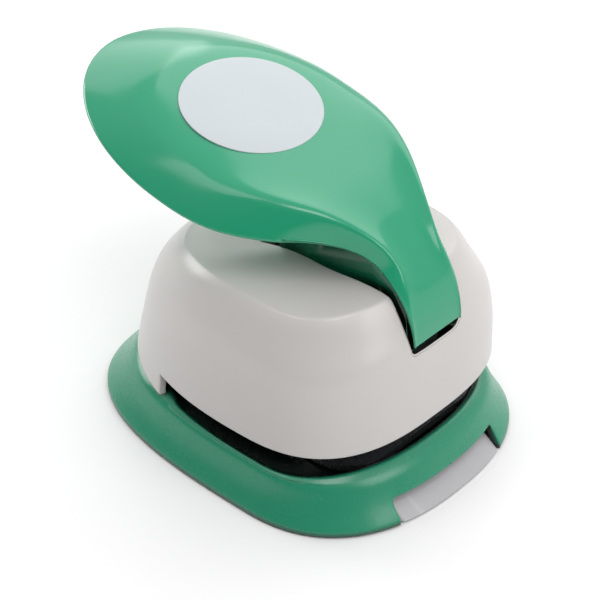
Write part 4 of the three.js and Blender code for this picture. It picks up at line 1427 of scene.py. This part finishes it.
def spring_line(foot, head):
    """The wire's middle line: a flat turn at each seat and open turns between."""
    points = []
    for i in range(round(CURL_STEPS * SPRING_CURLS) + 1):
        curls = i / CURL_STEPS
        share = min(max((curls - SEAT_TURNS) / (SPRING_CURLS - 2 * SEAT_TURNS), 0), 1)
        first = smooth(curls / SEAT_TURNS)
        last = smooth((curls - SPRING_CURLS + SEAT_TURNS) / SEAT_TURNS)
        rise = share * OPEN_SHARE + SEAT_SHARE * first + SEAT_SHARE * last
        turn = 2 * math.pi * curls
        x, y = SPRING_RADIUS * math.cos(turn), SPRING_RADIUS * math.sin(turn)
        points.append(np.array((x, y, foot + (head - foot) * rise)))
    return points


def make_spring(name, node):
    x, y, low, high = spot_of(node)
    y = math.copysign(POST_SPREAD, y)
    line = spring_line(low + WIRE_RADIUS, high - WIRE_RADIUS)
    sheet = bmesh.new()
    rings = []
    for i, spot in enumerate(line):
        along = line[min(i + 1, len(line) - 1)] - line[max(i - 1, 0)]
        along /= np.linalg.norm(along)
        outward = np.array((spot[0], spot[1], 0)) / SPRING_RADIUS
        across = np.cross(along, outward)
        across /= np.linalg.norm(across)
        ring = []
        for k in range(WIRE_SIDES):
            turn = 2 * math.pi * k / WIRE_SIDES
            edge = spot + (outward * math.cos(turn) + across * math.sin(turn)) * WIRE_RADIUS
            ring.append(sheet.verts.new((edge[0], edge[1] + y, edge[2])))
        rings.append(ring)
    join_rings(sheet, rings)
    sheet.faces.new(list(reversed(rings[0])))
    sheet.faces.new(rings[-1])
    bmesh.ops.recalc_face_normals(sheet, faces=sheet.faces[:])
    made = piece(name, sheet, spring_steel, "housing", [node])
    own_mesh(made)
    return made


make_lever()
make_label()
make_cover()
make_base()
make_tray()
make_spring("wound_spring_left", "return_spring_left")
make_spring("wound_spring_right", "return_spring_right")


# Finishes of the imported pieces


def dress(node, slot):
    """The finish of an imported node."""
    made = frame["nodes"][node]
    made.data.materials.clear()
    made.data.materials.append(FINISHES[slot])
    for polygon in made.data.polygons:
        polygon.material_index = 0


for entry in frame["record"]["subparts"]:
    dress(entry["node"], entry["material_slot"])


# Studio


FLOOR_REACH = 3.0
FLOOR_COLOUR = "#ececec"
FLOOR_ROUGHNESS = 0.9
LIGHT_COLOUR = "#ffffff"
LIGHT_AIM = (0, 0, 0.05)
SENSOR_WIDTH = 36

# The glow by height, its dimming from the near side, and the bright wall behind, as (from, to, least, most)
GLOW = (0.1, 0.75, 0.03, 0.8)
NEAR_DIMMING = (-0.7, -0.1, 0.45, 1)
WALL_GLOW = (0.15, 0.7, 0, 0.9)

# Soft boxes: name, place in metres, size in metres and power in watts
LIGHTS = [
    ("far_panel", (-0.2, 0.68, 0.6), (1.1, 0.6), 3.0),
    ("rear_panel", (-0.85, 0.45, 0.45), (0.7, 0.5), 1.4),
    ("low_panel", (-0.95, -0.12, 0.3), (0.5, 0.3), 3.2),
    ("leaf_panel", (-0.24, -0.42, 0.86), (0.4, 0.5), 1.2),
    ("crest_light", (0.35, -0.33, 0.88), (0.45, 0.45), 2.8),
    ("front_box", (0.85, 0.05, 0.5), (0.5, 0.5), 2.6),
]


def area_light(name, place, aim, size, power, colour):
    """A soft box at a place in metres that looks at aim."""
    lamp = bpy.data.lights.new(name, "AREA")
    lamp.shape = "RECTANGLE"
    lamp.size, lamp.size_y = size
    lamp.energy = power
    lamp.color = linear(colour)[:3]
    made = bpy.data.objects.new(name, lamp)
    bpy.context.scene.collection.objects.link(made)
    made.location = place
    made.rotation_euler = (Vector(aim) - Vector(place)).to_track_quat("-Z", "Y").to_euler()
    return made


def make_studio():
    floor = bpy.data.meshes.new("floor")
    reach = FLOOR_REACH
    corners = [(-reach, -reach, 0), (reach, -reach, 0), (reach, reach, 0), (-reach, reach, 0)]
    floor.from_pydata(corners, [], [(0, 1, 2, 3)])
    backdrop = bpy.data.objects.new("floor", floor)
    bpy.context.scene.collection.objects.link(backdrop)
    surface = {"Base Color": linear(FLOOR_COLOUR), "Roughness": FLOOR_ROUGHNESS}
    paper = new_material("white_sweep", surface)[0]
    floor.materials.append(paper)
    world = bpy.data.worlds.new("studio")
    bpy.context.scene.world = world
    world.use_nodes = True
    sky = world.node_tree
    sky.nodes.clear()
    direction = add_node(sky, "ShaderNodeTexCoord")
    height = add_node(sky, "ShaderNodeSeparateXYZ", {}, {"Vector": direction.outputs["Generated"]})
    ends = ("From Min", "From Max", "To Min", "To Max")
    glow = add_node(
        sky,
        "ShaderNodeMapRange",
        dict(zip(ends, GLOW)),
        {"Value": height.outputs["Z"]},
    )
    near_shade = add_node(
        sky,
        "ShaderNodeMapRange",
        dict(zip(ends, NEAR_DIMMING)),
        {"Value": height.outputs["Y"]},
    )
    shaded_glow = add_node(
        sky,
        "ShaderNodeMath",
        {"operation": "MULTIPLY"},
        {0: glow.outputs["Result"], 1: near_shade.outputs["Result"]},
    )
    wall_glow = add_node(
        sky,
        "ShaderNodeMapRange",
        dict(zip(ends, WALL_GLOW)),
        {"Value": height.outputs["Y"]},
    )
    brighter = add_node(
        sky,
        "ShaderNodeMath",
        {"operation": "MAXIMUM"},
        {0: shaded_glow.outputs["Value"], 1: wall_glow.outputs["Result"]},
    )
    backdrop_light = add_node(
        sky,
        "ShaderNodeBackground",
        {"Color": (1, 1, 1, 1)},
        {"Strength": brighter.outputs["Value"]},
    )
    add_node(sky, "ShaderNodeOutputWorld", {}, {"Surface": backdrop_light.outputs["Background"]})
    for name, place, size, power in LIGHTS:
        area_light(name, place, LIGHT_AIM, size, power, LIGHT_COLOUR)
    bpy.context.scene.view_settings.view_transform = "Standard"


def make_camera():
    turn, rise = math.radians(CAMERA_TURN), math.radians(CAMERA_RISE)
    back = Vector((math.sin(turn) * math.cos(rise), -math.cos(turn) * math.cos(rise), math.sin(rise)))
    aim = Vector(in_row(CAMERA_AIM))
    lens = bpy.data.cameras.new("camera")
    lens.lens = CAMERA_LENS
    lens.sensor_width = SENSOR_WIDTH
    made = bpy.data.objects.new("camera", lens)
    bpy.context.scene.collection.objects.link(made)
    made.location = aim + back * CAMERA_AWAY * MM
    made.rotation_euler = (-back).to_track_quat("-Z", "Y").to_euler()
    bpy.context.scene.camera = made


make_studio()
make_camera()
